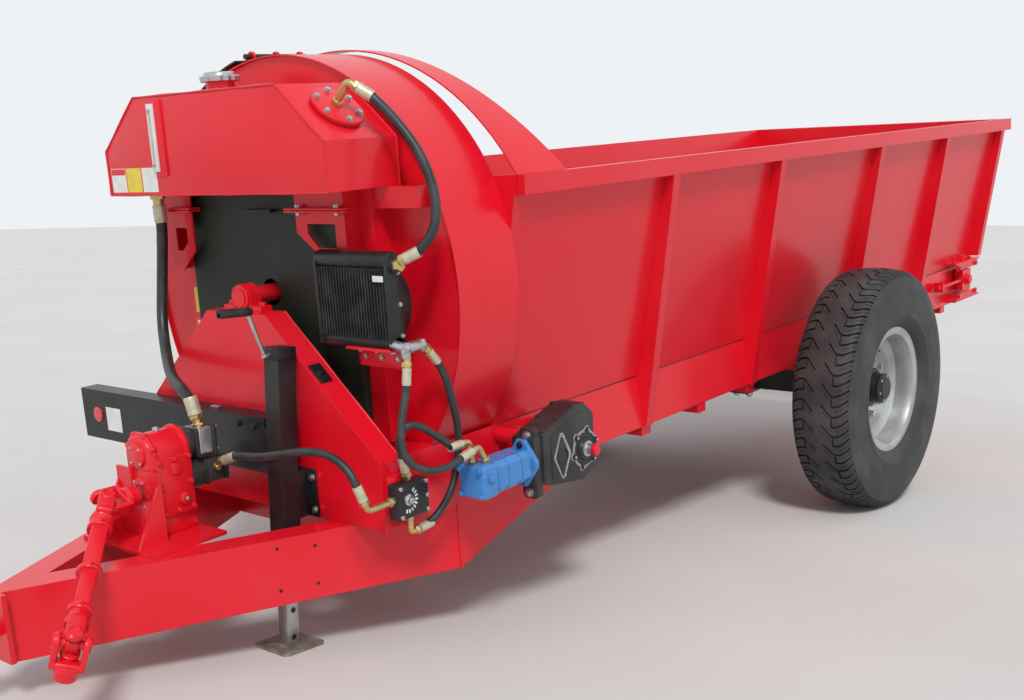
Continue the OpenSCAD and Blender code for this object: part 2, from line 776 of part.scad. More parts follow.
tensioner_top = 352;
module tensioner() {
    half = 200;
    rail = 8;
    out = -base_half - 52;
    low = 2 * conveyor_z - tensioner_top;
    inner = -joint_half;
    slide = 62;
    color(paint_red) difference() {
        union() {
            block([conveyor_rear - half, out, tensioner_top - rail], [conveyor_rear + half - 20, inner, tensioner_top]);
            block([conveyor_rear - half, out, low], [conveyor_rear + half - 20, inner, low + rail]);
            for (z = [tensioner_top - 44, low + rail])
                block([conveyor_rear - half + 30, out, z], [conveyor_rear + half - 50, out + rail, z + 36]);
            block([conveyor_rear - slide, out + rail, conveyor_z - 58], [conveyor_rear + slide, inner,
                conveyor_z + 58]);
            rod_x([conveyor_rear - 390, out + 22, conveyor_z], 10, 390 - slide + 4);
            block([conveyor_rear - 380, out + 2, conveyor_z - 26], [conveyor_rear - 360, inner, conveyor_z + 26]);
        }
        rod_y([conveyor_rear, out - 1, conveyor_z], shaft_r + fit, 150);
        between_plates();
    }
}

module chain_tensioners() {
    stand() {
        tensioner();
        mirror([0, 1, 0]) tensioner();
    }
}

// Jack: stands upright on the floor, bolted to the rotor stand
jack_at = stood([-jack_x, -jack_y, 0]);
jack_top = 640;
post_wall = 5;
leg_side = 48;
foot_half = 85;
foot_t = 8;
post_low = foot_t + jack_stroke + 22;
module jack_post() {
    h = jack_top + jack_at[2] - post_low;
    cap_side = jack_side + 8;
    web_half = 30;
    web_low = beam_top + 8;
    web_top = 260;
    inner = jack_side - 2 * post_wall;
    crank = [jack_at[0] - cap_side / 2, jack_at[1], jack_at[2] + jack_top + 5];
    color(paint_black) difference() {
        union() {
            translate([jack_at[0], jack_at[1], post_low]) {
                translate([-jack_side / 2, -jack_side / 2, 0]) cube([jack_side, jack_side, h]);
                translate([-cap_side / 2, -cap_side / 2, h - 10]) cube([cap_side, cap_side, 40]);
            }
            stand() {
                block([-stand_x - 8, -jack_y - 62, beam_top + 2], [-stand_x, -jack_y + 42, web_top + 4]);
                block([-jack_x, -jack_y - web_half, web_low], [-stand_x - 4, -jack_y + web_half, web_top]);
            }
        }
        translate([jack_at[0] - inner / 2, jack_at[1] - inner / 2, post_low - 1]) cube([inner, inner, h - 20]);
    }
    color(silver) {
        rod_to(crank, crank + [-26, 0, 0], 8);
        rod_to(crank + [-20, 0, 0], crank + [-80, 0, 141], 7);
    }
    color(paint_black) rod_to(crank + [-66, 0, 141], crank + [-185, 0, 141], 14);
}

module jack_leg() {
    leg_h = 420;
    color(silver) translate([jack_at[0], jack_at[1], 0]) {
        translate([-leg_side / 2, -leg_side / 2, foot_t]) cube([leg_side, leg_side, leg_h]);
        translate([-foot_half, -foot_half, 0]) cube([2 * foot_half, 2 * foot_half, foot_t]);
    }
}

module pto_gearbox() {
    color(paint_red) stand() {
        block([-pto_x, -66, 165], [-pto_x + 150, 66, 380]);
        rod_x([-pto_x, 0, 370], 66, 150);
        block([-pto_x, -60, beam_top + 12], [-pto_x + 150, 60, 165]);
        rod_x([-pto_x - 45, 0, pto_z], 20, 46);
    }
}

module pto_bracket() {
    t = 12;
    color(paint_red) stand() {
        block([-pto_x - 110, -190, beam_top], [-pto_x + 160, 190, beam_top + t]);
        difference() {
            block([-pto_x - t, -110, beam_top + t], [-pto_x, 110, 330]);
            block([-pto_x - t - 1, -34, pto_z - 34], [-pto_x + 1, 34, 331]);
        }
        for (side = [-1, 1])
            long_plate(side * 104 - 5, 10, [[-pto_x - t, beam_top + t], [-pto_x - t, 290], [-pto_x - 100, beam_top + t]]);
    }
}

module gear_pumps() {
    back = -pto_x + 150;
    color(paint_black) stand() {
        rod_x([back, -10, 375], 46, 30);
        block([back + 30, -56, 330], [back + 110, 36, 420]);
        rod_x([back, 0, 270], 52, 60);
        block([back + 60, -45, 228], [back + 150, 45, 312]);
    }
    stand() {
        elbow(route_pump[0], knee_before(route_pump, 2, 20), [-3030, -40, 275], 13);
        elbow(last(route_suction), knee_after(route_suction, 1, 22), [-3065, -18, 416], 19);
    }
}

// Drive shaft: yokes joined by crosses, the shaft hanging over the left beam
cross_top = [-3415, 0, pto_z];
cross_low = [-3785, -375, 30];
shaft_run = cross_low - cross_top;
shaft_len = norm(shaft_run);
// Turn of the upper cross about the input shaft, and the bend of the joint
cross_roll = atan2(-shaft_run[2], -shaft_run[1]);
bend = acos(-shaft_run[0] / shaft_len);
pin_r = 13;
arm_in = 31;
arm_t = 16;
arm_half = 22;
hub_from = 58;
hub_r = 32;
tube_side = 48;

// Yoke on the cross at the origin, its pin along y and its hub toward x
module yoke(hub_l, play) {
    difference() {
        union() {
            rod_x([hub_from, 0, 0], hub_r, hub_l);
            block([hub_from, -arm_in - arm_t, -arm_half], [hub_from + arm_t, arm_in + arm_t, arm_half]);
            for (side = [0, 1]) mirror([0, side, 0])
                block([-arm_half, arm_in, -arm_half], [hub_from, arm_in + arm_t, arm_half]);
        }
        rod_y([0, -arm_in - arm_t - 1, 0], pin_r + play, 2 * (arm_in + arm_t + 1));
    }
}

module cross_piece() {
    reach = arm_in + arm_t;
    rod_y([0, -reach, 0], pin_r, 2 * reach);
    rod_z([0, 0, -reach], pin_r, 2 * reach);
    block([-18, -18, -18], [18, 18, 18]);
}

module pto_stub_yoke() {
    color(paint_red) stand() translate(cross_top) rotate([cross_roll, 0, 0]) {
        difference() {
            yoke(54, 0);
            rod_x([70, 0, 0], 20 + fit, 60);
        }
        cross_piece();
    }
}

module pto_shaft() {
    color(paint_red) stand() translate(cross_top) rotate([cross_roll, 0, 0]) rotate([0, 0, 180 + bend]) {
        rotate([90, 0, 0]) yoke(60, fit);
        block([hub_from + 50, -tube_side / 2, -tube_side / 2], [shaft_len - hub_from - 50, tube_side / 2,
            tube_side / 2]);
        translate([shaft_len, 0, 0]) {
            mirror([1, 0, 0]) rotate([90, 0, 0]) yoke(60, 0);
            cross_piece();
            rotate([0, 66, 0]) yoke(46, 0);
        }
    }
}

module axle() {
    half = wheel_face - wheel_w / 2 - 150;
    spindle = 190;
    clamp_t = 14;
    top = axle_side / 2;
    color(paint_black) stand() {
        block([-top, -half, -top], [top, half, top]);
        for (side = [-1, 1]) {
            rod_y([0, side > 0 ? half : -half - spindle, 0], 40, spindle);
            block([-130, side * rail_y - 50, -top - clamp_t], [130, side * rail_y + 50, -top]);
        }
    }
    color(paint_red) stand() for (side = [-1, 1])
        block([-150, side * rail_y - 60, top], [150, side * rail_y + 60, frame_low]);
}

// Wheel about the y axis: closed inner side toward the machine
module wheel() {
    mid = wheel_face - wheel_w / 2;
    well = 8;
    color(silver) rotate([-90, 0, 0]) rotate_extrude($fn = 96)
        polygon([[bead_r - well, mid - wheel_w / 2 + 6], [bead_r, mid - wheel_w / 2 + 6], [flange_r, mid - wheel_w / 2],
            [flange_r, mid - wheel_w / 2 + 8], [bead_r, mid - wheel_w / 2 + 16], [bead_r, mid + wheel_w / 2 - 16],
            [flange_r, mid + wheel_w / 2 - 8], [flange_r, mid + wheel_w / 2], [bead_r, mid + wheel_w / 2 - 6],
            [bead_r - well, mid + wheel_w / 2 - 6], [bead_r - well, mid], [150, mid - 10], [90, mid - 10],
            [90, mid - 20], [150, mid - 20], [bead_r - well, mid - 10]]);
    color(paint_black) rotate([-90, 0, 0]) rotate_extrude($fn = 96)
        polygon([[40 + fit, mid - 120], [70, mid - 120], [90, mid - 50], [118, mid - 34], [118, mid - 20],
            [90, mid - 20], [90, mid - 10], [80, mid + 10], [66, mid + 76], [0, mid + 80], [0, mid + 62],
            [40 + fit, mid + 62]]);
}

module tyre() {
    mid = wheel_face - wheel_w / 2;
    hw = tyre_w / 2;
    half = [[bead_r + fit, wheel_w / 2 - 17], [flange_r + 1, wheel_w / 2 - 9.5], [flange_r + 8, wheel_w / 2 + 6],
        [tyre_r * 0.62, hw - 5], [tyre_r * 0.72, hw], [tyre_r * 0.84, hw - 4], [tyre_r - 34, hw - 14],
        [tyre_r - 10, hw - 26], [tyre_r - 3, hw - 60], [tyre_r, 0]];
    color(rubber) rotate([-90, 0, 0]) rotate_extrude($fn = 96)
        polygon(concat([for (p = half) [p[0], mid + p[1]]], [for (i = [len(half) - 2:-1:0]) [half[i][0], mid - half[i][1]]]));
}

module wheel_left() {
    stand() mirror([0, 1, 0]) wheel();
}

module tyre_left() {
    stand() mirror([0, 1, 0]) tyre();
}

module wheel_right() {
    stand() wheel();
}

module tyre_right() {
    stand() tyre();
}

// Hoses: each tube is swept along its own points, in the machine frame
route_tank = [[-2750, -555, 1430], [-2730, -600, 1395], [-2700, -655, 1325], [-2682, -720, 1230],
    [-2680, -765, 1115], [-2698, -770, 1020], [-2735, -742, 960], [-2758, -700, 934]];
route_suction = [[-2800, 440, 1095], [-2800, 440, 1000], [-2802, 468, 850], [-2832, 455, 700], [-2890, 370, 595],
    [-2980, 220, 545], [-3045, 75, 525], [-3065, 5, 490], [-3065, -10, 455]];
route_pump = [[-3024, -76, 302], [-3015, -140, 322], [-3022, -250, 335], [-3028, -380, 362], [-3015, -480, 380],
    [-3000, -565, 374], [-2992, -630, 335], [-2990, -662, 285], [-2980, -672, 245]];
route_cooler = [[-2785, -700, 610], [-2800, -703, 540], [-2830, -709, 470], [-2850, -718, 400], [-2850, -740, 345],
    [-2815, -772, 312], [-2755, -797, 305], [-2700, -806, 318], [-2640, -805, 330]];
route_feed = [[-2805, -678, 290], [-2820, -682, 350], [-2826, -686, 400], [-2805, -698, 435], [-2765, -715, 428],
    [-2725, -744, 392], [-2690, -770, 357], [-2650, -773, 352]];
route_return = [[-2688, -700, 645], [-2655, -706, 600], [-2634, -716, 540], [-2624, -728, 460], [-2612, -728, 390],
    [-2602, -714, 315], [-2608, -703, 245], [-2640, -700, 180], [-2690, -692, 128], [-2735, -684, 104],
    [-2765, -680, 98]];

function mix(a, b, c, d, t) = 0.5 * ((2 * b) + (c - a) * t + (2 * a - 5 * b + 4 * c - d) * t * t
    + (3 * b - a - 3 * c + d) * t * t * t);
function at(p, i) = p[min(max(i, 0), len(p) - 1)];
function smooth_route(p, n) = concat([for (i = [0:len(p) - 2]) for (k = [0:n - 1])
    mix(at(p, i - 1), p[i], p[i + 1], at(p, i + 2), k / n)], [p[len(p) - 1]]);
function run_at(p, i) = unit(at(p, i + 1) - at(p, i - 1));
function last(p) = p[len(p) - 1];
// Point straight before a hose's start, and straight after its end
function knee_before(route, steps, l) = let (p = smooth_route(route, steps)) p[0] - l * unit(p[1] - p[0]);
function knee_after(route, steps, l) = let (p = smooth_route(route, steps), n = len(p) - 1)
    p[n] + l * unit(p[n] - p[n - 1]);
function side_of(v) = unit(cross(v, abs(v[0]) < 0.8 ? [1, 0, 0] : [0, 1, 0]));
function carried(p) = [for (i = 0, s = side_of(run_at(p, 0)); i < len(p); i = i + 1,
    s = i < len(p) ? unit(s - (s * run_at(p, i)) * run_at(p, i)) : s) s];

module hose(route, r, steps) {
    sides = 8;
    p = smooth_route(route, steps);
    s = carried(p);
    last = len(p) - 1;
    points = [for (i = [0:last]) let (t = run_at(p, i), u = s[i], w = cross(t, u)) for (k = [0:sides - 1])
        p[i] + r * (u * cos(k * 360 / sides) + w * sin(k * 360 / sides))];
    walls = [for (i = [0:last - 1]) for (k = [0:sides - 1])
        [i * sides + k, i * sides + (k + 1) % sides, (i + 1) * sides + (k + 1) % sides, (i + 1) * sides + k]];
    ends = [[for (k = [sides - 1:-1:0]) k], [for (k = [0:sides - 1]) last * sides + k]];
    color(rubber) stand() polyhedron(points, [for (f = concat(walls, ends)) [for (k = [len(f) - 1:-1:0]) f[k]]]);
}

module hose_tank() {
    hose(route_tank, 15, 2);
}

module hose_suction() {
    hose(route_suction, 19, 1);
}

module hose_pump() {
    hose(route_pump, 13, 2);
}

module hose_cooler() {
    hose(route_cooler, 12, 1);
}

module hose_motor_feed() {
    hose(route_feed, 12, 1);
}

module hose_motor_return() {
    hose(route_return, 12, 2);
}

drawbar_beam_left();
drawbar_beam_right();
drawbar_nose();
lower_frame();
side_plate_left();
side_plate_right();
box_wall_left();
box_wall_right();
box_rear_wall();
box_floor();
top_rim();
ribs_left();
ribs_right();
front_bulkhead();
arch_hoop();
drum_band();
drum_front();
discharge_door();
rotor();
bearing_block();
rotor_stand();
chain_cover();
guard_beam();
oil_tank();
tank_brackets();
cooler();
flow_valve();
hydraulic_motor();
conveyor_gearbox();
conveyor_shafts();
floor_chain();
chain_tensioners();
jack_post();
jack_leg();
pto_gearbox();
pto_bracket();
gear_pumps();
pto_stub_yoke();
pto_shaft();
axle();
wheel_left();
tyre_left();
wheel_right();
tyre_right();
hose_tank();
hose_suction();
hose_pump();
hose_cooler();
hose_motor_feed();
hose_motor_return();
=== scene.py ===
import math

import bmesh
import bpy
from mathutils import Matrix, Vector


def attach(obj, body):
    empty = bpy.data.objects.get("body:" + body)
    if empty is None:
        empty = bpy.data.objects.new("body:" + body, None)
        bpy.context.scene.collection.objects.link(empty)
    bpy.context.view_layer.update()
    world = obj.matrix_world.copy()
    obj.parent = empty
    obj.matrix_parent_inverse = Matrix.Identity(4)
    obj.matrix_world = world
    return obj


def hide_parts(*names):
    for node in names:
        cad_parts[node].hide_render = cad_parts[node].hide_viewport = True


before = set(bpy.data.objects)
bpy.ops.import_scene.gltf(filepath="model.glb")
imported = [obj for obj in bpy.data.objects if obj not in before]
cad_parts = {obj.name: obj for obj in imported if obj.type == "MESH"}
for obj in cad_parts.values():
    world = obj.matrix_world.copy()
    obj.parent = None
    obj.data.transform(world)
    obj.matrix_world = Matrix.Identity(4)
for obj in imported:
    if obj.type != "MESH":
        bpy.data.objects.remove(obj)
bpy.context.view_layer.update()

# Camera: it stands where the photo was taken, left of the machine's nose at eye height.
# Its small shift puts the machine where the photo's frame has it.
camera = bpy.data.objects.new("camera", bpy.data.cameras.new("camera"))
bpy.context.scene.collection.objects.link(camera)
camera.location = (-4.476, -3.2713, 1.4224)
camera.rotation_euler = [math.radians(a) for a in (80.676, 0.299, -50.140)]
camera.data.sensor_width = 36
camera.data.lens = 43.19
camera.data.shift_y = 0.0503
bpy.context.scene.camera = camera

# Hoses: black oil-resistant rubber over steel braid, drawn as curves along the machine's real runs.
# Points are in metres in the machine's own frame: x rearward from the axle, y to its right, z up.
# It parks nose down on its jack, so its stance tilts that frame into the row's.
AXLE_X = 0.93655
WHEEL_R = 0.553
STANCE = Matrix.Translation((AXLE_X, 0, WHEEL_R)) @ Matrix.Rotation(math.radians(-4.8), 4, "Y")
PAINTS = []


def finish(name, colour, dusty, rough, metal=0.0, coat=0.0, scale=6.0, grain=180.0, bump=0.0004, worn=None,
        round_edge=0.0, shine=0.5):
    """Material of one base colour that drifts to a dusty one in soft patches, with a fine surface grain."""
    material = bpy.data.materials.new(name)
    material.use_nodes = True
    PAINTS.append(material)
    nodes, links = material.node_tree.nodes, material.node_tree.links
    shader = nodes["Principled BSDF"]
    place = nodes.new("ShaderNodeTexCoord").outputs["Object"]
    patches = nodes.new("ShaderNodeTexNoise")
    patches.inputs["Scale"].default_value = scale
    patches.inputs["Detail"].default_value = 5.0
    links.new(place, patches.inputs["Vector"])
    drift = nodes.new("ShaderNodeMapRange")
    drift.inputs["From Min"].default_value, drift.inputs["From Max"].default_value = 0.42, 0.68
    links.new(patches.outputs["Fac"], drift.inputs["Value"])
    mix = nodes.new("ShaderNodeMix")
    mix.data_type = "RGBA"
    mix.inputs["A"].default_value = (*colour, 1)
    mix.inputs["B"].default_value = (*dusty, 1)
    links.new(drift.outputs["Result"], mix.inputs["Factor"])
    shade = mix.outputs["Result"]
    fine = nodes.new("ShaderNodeTexNoise")
    fine.inputs["Scale"].default_value = grain
    fine.inputs["Detail"].default_value = 3.0
    links.new(place, fine.inputs["Vector"])
    if worn:
        marks = nodes.new("ShaderNodeMapRange")
        marks.inputs["From Min"].default_value, marks.inputs["From Max"].default_value = 0.60, 0.72
        links.new(fine.outputs["Fac"], marks.inputs["Value"])
        spots = nodes.new("ShaderNodeMix")
        spots.data_type = "RGBA"
        spots.inputs["B"].default_value = (*worn, 1)
        links.new(shade, spots.inputs["A"])
        links.new(marks.outputs["Result"], spots.inputs["Factor"])
        shade = spots.outputs["Result"]
    links.new(shade, shader.inputs["Base Color"])
    gloss = nodes.new("ShaderNodeMapRange")
    gloss.inputs["To Min"].default_value = rough * 0.82
    gloss.inputs["To Max"].default_value = min(1.0, rough * 1.25)
    links.new(patches.outputs["Fac"], gloss.inputs["Value"])
    links.new(gloss.outputs["Result"], shader.inputs["Roughness"])
    shader.inputs["Metallic"].default_value = metal
    shader.inputs["Coat Weight"].default_value = coat
    shader.inputs["Specular IOR Level"].default_value = shine
    shader.inputs["Coat Roughness"].default_value = 0.12
    relief = nodes.new("ShaderNodeBump")
    relief.inputs["Strength"].default_value = 0.35
    relief.inputs["Distance"].default_value = bump
    links.new(fine.outputs["Fac"], relief.inputs["Height"])
    if round_edge:
        edge = nodes.new("ShaderNodeBevel")
        edge.samples = 3
        edge.inputs["Radius"].default_value = round_edge
        links.new(edge.outputs["Normal"], relief.inputs["Normal"])
    links.new(relief.outputs["Normal"], shader.inputs["Normal"])
    return material


RUBBER = finish("hose_rubber", (0.018, 0.019, 0.020), (0.045, 0.046, 0.048), 0.42, scale=14, grain=320,
    bump=0.0003)
ROUTES = {
    "tank": (0.015, "medium", [(-2.750, -.555, 1.430), (-2.730, -.600, 1.395), (-2.700, -.655, 1.325),
        (-2.682, -.720, 1.230), (-2.680, -.765, 1.115), (-2.698, -.770, 1.020), (-2.735, -.742, .960),
        (-2.758, -.700, .934)]),
    "suction": (0.019, "medium", [(-2.800, .440, 1.095), (-2.800, .440, 1.000), (-2.802, .468, .850),
        (-2.832, .455, .700), (-2.890, .370, .595), (-2.980, .220, .545), (-3.045, .075, .525),
        (-3.065, .005, .490), (-3.065, -.010, .455)]),
    "pump": (0.013, "medium", [(-3.024, -.076, .302), (-3.015, -.140, .322), (-3.022, -.250, .335),
        (-3.028, -.380, .362), (-3.015, -.480, .380), (-3.000, -.565, .374), (-2.992, -.630, .335),
        (-2.990, -.662, .285), (-2.980, -.672, .245)]),
    "cooler": (0.012, "medium", [(-2.785, -.700, .610), (-2.800, -.703, .540), (-2.830, -.709, .470),
        (-2.850, -.718, .400), (-2.850, -.740, .345), (-2.815, -.772, .312), (-2.755, -.797, .305),
        (-2.700, -.806, .318), (-2.640, -.805, .330)]),
    "motor_feed": (0.012, "medium", [(-2.805, -.678, .290), (-2.820, -.682, .350), (-2.826, -.686, .400),
        (-2.805, -.698, .435), (-2.765, -.715, .428), (-2.725, -.744, .392), (-2.690, -.770, .357),
        (-2.650, -.773, .352)]),
    "motor_return": (0.012, "medium", [(-2.688, -.700, .645), (-2.655, -.706, .600), (-2.634, -.716, .540),
        (-2.624, -.728, .460), (-2.612, -.728, .390), (-2.602, -.714, .315), (-2.608, -.703, .245),
        (-2.640, -.700, .180), (-2.690, -.692, .128), (-2.735, -.684, .104), (-2.765, -.680, .098)]),
}


def smooth_run(points, steps):
    """Rounded run through the points, with steps stretches between each two of them."""
    p = [Vector(q) for q in points]
    run = []
    for i in range(len(p) - 1):
        a, b, c, d = p[max(i - 1, 0)], p[i], p[i + 1], p[min(i + 2, len(p) - 1)]
        for k in range(steps):
            t = k / steps
            run.append(0.5 * (2 * b + (c - a) * t + (2 * a - 5 * b + 4 * c - d) * t * t
                + (3 * b - a - 3 * c + d) * t * t * t))
    return run + [p[-1]]


hose_ends = {}
for hose, (radius, stiff, points) in ROUTES.items():
    run = smooth_run(points, 4)
    # Each end: its place, the way out of the hose there, and the hose's radius.
    hose_ends[hose, "start"] = (run[0], (run[0] - run[1]).normalized(), radius)
    hose_ends[hose, "stop"] = (run[-1], (run[-1] - run[-2]).normalized(), radius)
    line = bpy.data.curves.new("hose_" + hose, "CURVE")
    line.dimensions = "3D"
    line.bevel_depth = radius
    line.bevel_resolution = 5
    line.use_fill_caps = True
    spline = line.splines.new("POLY")
    spline.points.add(len(run) - 1)
    placed = [STANCE @ q for q in run]
    for spot, q in zip(spline.points, placed):
        spot.co = (*q, 1)
    spline.use_smooth = True
    line.materials.append(RUBBER)
    piece = bpy.data.objects.new("hose_run_" + hose, line)
    bpy.context.scene.collection.objects.link(piece)
    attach(piece, "chassis")
    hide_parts("hose_" + hose)
    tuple(placed[0])
    sum((b - a).length for a, b in zip(placed, placed[1:]))

# Carried-over construction: sheet steel sprayed in one glossy red, black brackets, an olive chain cover.
# Each keeps its exact shape from the construction, and takes a procedural paint with dusty patches.
RED = finish("red_paint", (0.74, 0.004, 0.017), (0.75, 0.014, 0.028), 0.30, coat=0.18, scale=2.2, grain=60,
    bump=0.0003, round_edge=0.003, shine=0.38)
BLACK = finish("black_paint", (0.009, 0.009, 0.010), (0.020, 0.020, 0.020), 0.40, coat=0.1, grain=90,
    round_edge=0.002, shine=0.4)
OLIVE = finish("olive_paint", (0.013, 0.018, 0.012), (0.020, 0.025, 0.018), 0.45, grain=90, round_edge=0.002,
    shine=0.35)
CHAIN = finish("chain_steel", (0.13, 0.12, 0.11), (0.20, 0.14, 0.10), 0.55, metal=0.8, grain=120, bump=0.0008)
ZINC = finish("zinc_steel", (0.55, 0.56, 0.57), (0.42, 0.42, 0.42), 0.30, metal=0.9, scale=30, grain=300)
BRASS = finish("brass", (0.66, 0.50, 0.22), (0.50, 0.38, 0.18), 0.32, metal=0.9, scale=30, grain=240)
IVORY = finish("ferrule_plating", (0.62, 0.58, 0.42), (0.52, 0.48, 0.34), 0.35, metal=0.5, scale=40,
    grain=240)
paints = {"discharge_door": BLACK, "guard_beam": BLACK, "flow_valve": BLACK, "conveyor_gearbox": BLACK,
    "gear_pumps": BLACK, "axle": BLACK, "jack_post": BLACK, "jack_leg": ZINC, "floor_chain": CHAIN,
    "chain_cover": OLIVE, "cooler": BLACK, "conveyor_shafts": ZINC}
beam_top = 0.0505
for node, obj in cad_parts.items():
    obj.data.materials.clear()
    obj.data.materials.append(paints.get(node, RED))
    if node == "axle":
        obj.data.materials.append(RED)
    for face in obj.data.polygons:
        pad = node == "axle" and (STANCE.inverted() @ face.center).z > beam_top
        face.material_index = 1 if pad else 0

# Tyres: low-profile trailer tyres for field and road, black rubber that has greyed a little.
# The carcass is turned; the lateral grooves that sweep from both shoulders to the centre rib are pressed in.
TYRE = finish("tyre_rubber", (0.029, 0.029, 0.030), (0.066, 0.064, 0.061), 0.62, scale=7, grain=260,
    bump=0.0006)
WHEEL_Y = 0.921
PITCHES = 38
COLUMNS = 8
TREAD_HALF = 0.118


def turned(profile, steps, centre=(0, 0, 0), axis=(0, 0, 1), closed=False, lean=None):
    """Shape turned about an axis from (along, radius) points; a closed profile makes a ring."""
    mesh = bmesh.new()
    corners = [mesh.verts.new((r, 0, a)) for a, r in profile]
    lines = [mesh.edges.new(pair) for pair in zip(corners, corners[1:])]
    if closed:
        lines.append(mesh.edges.new((corners[-1], corners[0])))
    bmesh.ops.spin(mesh, geom=corners + lines, cent=(0, 0, 0), axis=(0, 0, 1), angle=math.tau, steps=steps,
        use_merge=True)
    bmesh.ops.remove_doubles(mesh, verts=mesh.verts, dist=1e-6)
    bmesh.ops.recalc_face_normals(mesh, faces=mesh.faces)
    if lean:
        lean(mesh)
        bmesh.ops.recalc_face_normals(mesh, faces=mesh.faces)
    turn = Vector((0, 0, 1)).rotation_difference(Vector(axis)).to_matrix().to_4x4()
    bmesh.ops.transform(mesh, matrix=Matrix.Translation(centre) @ turn, verts=mesh.verts)
    return mesh


def gather(whole, part, paint=None):
    """Part put into the whole, sprayed in one finish unless it has its own already."""
    if paint:
        for face in part.faces:
            face.material_index = PAINTS.index(paint)
    between = bpy.data.meshes.new("between")
    part.to_mesh(between)
    part.free()
    whole.from_mesh(between)
    bpy.data.meshes.remove(between)


def hand_over(mesh, name, body="chassis", stands=True, hides=(), angle=35):
    """Finished mesh as a piece of the machine, in the finishes that it uses, shaded smooth up to an angle."""
    if stands:
        bmesh.ops.transform(mesh, matrix=STANCE, verts=mesh.verts)
    used = sorted({face.material_index for face in mesh.faces})
    for face in mesh.faces:
        face.material_index = used.index(face.material_index)
    data = bpy.data.meshes.new(name)
    mesh.to_mesh(data)
    mesh.free()
    for number in used:
        data.materials.append(PAINTS[number])
    data.shade_smooth()
    data.set_sharp_from_angle(angle=math.radians(angle))
    piece = bpy.data.objects.new(name, data)
    bpy.context.scene.collection.objects.link(piece)
    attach(piece, body)
    if hides:
        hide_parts(*hides)


def groove_lean(along):
    """Angle by which the grooves lean at a distance from the tyre's middle: an S from each shoulder."""
    sweep, bend = 0.62, 2.4
    side = abs(along) / TREAD_HALF
    most = math.copysign(sweep, along) * math.tau / PITCHES
    return most * math.sin(side * bend) * min(1.0, side * 2)


def press_tread(mesh):
    """Leans the tread's columns, then presses the grooves and the fine cuts between them."""
    lean_from, tread_from = 0.50, 0.515
    long_from, short_from, link_to, grooves_to = 0.022, 0.062, 0.071, 0.128
    cut_from, cut_to, edge_cut_from, notch_from = 0.026, 0.052, 0.084, 0.112
    for vert in mesh.verts:
        if math.hypot(vert.co.x, vert.co.y) > lean_from:
            vert.co = Matrix.Rotation(groove_lean(vert.co.z), 3, "Z") @ vert.co
    deep, fine = [], []
    for face in mesh.faces:
        middle = face.calc_center_median()
        across = abs(middle.z)
        if math.hypot(middle.x, middle.y) < tread_from:
            continue
        place = (math.atan2(middle.y, middle.x) - groove_lean(middle.z)) / math.tau * PITCHES * COLUMNS
        column = int(math.floor(place)) % COLUMNS
        if middle.z < 0:
            column = (column + COLUMNS // 2) % COLUMNS
        long_groove = column == 0 and long_from < across < grooves_to
        short_groove = column == 4 and short_from < across < grooves_to
        link = column < 4 and short_from < across < link_to
        cut = column == 2 and cut_from < across < cut_to
        edge_cut = column == 6 and across > edge_cut_from
        notch = column % 2 == 0 and across > notch_from
        if long_groove or short_groove or link:
            deep.append(face)
        elif cut or edge_cut or notch:
            fine.append(face)
    bmesh.ops.inset_region(mesh, faces=deep, thickness=0.0006, depth=-0.0110, use_even_offset=True)
    bmesh.ops.inset_region(mesh, faces=fine, thickness=0.0005, depth=-0.0030, use_even_offset=True)


half_tyre = [(0.0, WHEEL_R), (0.019, 0.5528), (0.026, 0.5525), (0.040, 0.5515), (0.052, 0.5505),
    (0.062, 0.5495), (0.071, 0.5485), (0.084, 0.5465), (0.098, 0.544), (0.112, 0.540), (0.124, 0.532),
    (0.132, 0.518), (0.136, 0.500), (0.1395, 0.478), (0.1415, 0.470), (0.1405, 0.462), (0.1432, 0.435),
    (0.144, 0.405), (0.1425, 0.375), (0.1405, 0.350), (0.1425, 0.345), (0.1405, 0.340), (0.134, 0.318),
    (0.122, 0.300), (0.112, 0.293), (0.104, 0.280), (0.100, 0.258)]
tyre_ring = [(-a, r) for a, r in reversed(half_tyre[1:])] + half_tyre
for side, side_name in ((-1, "left"), (1, "right")):
    tyre = bmesh.new()
    hub_at = (AXLE_X, side * WHEEL_Y, WHEEL_R)
    gather(tyre, turned(tyre_ring, PITCHES * COLUMNS, hub_at, (0, side, 0), closed=True, lean=press_tread),
        TYRE)
    hand_over(tyre, "tyre_tread_" + side_name, "wheel_" + side_name, False, ["tyre_" + side_name])

# Wheels: pressed steel rims with a deep offset disc, silver-grey lacquer, on black cast hubs.
# Rim, disc and hub are turned; ten nuts hold the disc, and the hub's cap carries a ring of bolts.
SILVER = finish("wheel_silver", (0.50, 0.51, 0.51), (0.41, 0.40, 0.38), 0.36, metal=0.55, scale=9, grain=240,
    bump=0.0004, worn=(0.25, 0.24, 0.23))


def rod(start, end, radius, sides=20, edge=0.0):
    """Round bar between two points, its end edges broken."""
    start, end = Vector(start), Vector(end)
    mesh = bmesh.new()
    bmesh.ops.create_cone(mesh, cap_ends=True, segments=sides, radius1=radius, radius2=radius,
        depth=(end - start).length)
    if edge:
        rims = [e for e in mesh.edges if len(e.link_faces) == 2 and any(len(f.verts) > 4 for f in e.link_faces)]
        bmesh.ops.bevel(mesh, geom=rims, offset=edge, affect="EDGES", segments=2, profile=0.5, material=-1)
    turn = Vector((0, 0, 1)).rotation_difference(end - start).to_matrix().to_4x4()
    bmesh.ops.transform(mesh, matrix=Matrix.Translation((start + end) / 2) @ turn, verts=mesh.verts)
    return mesh


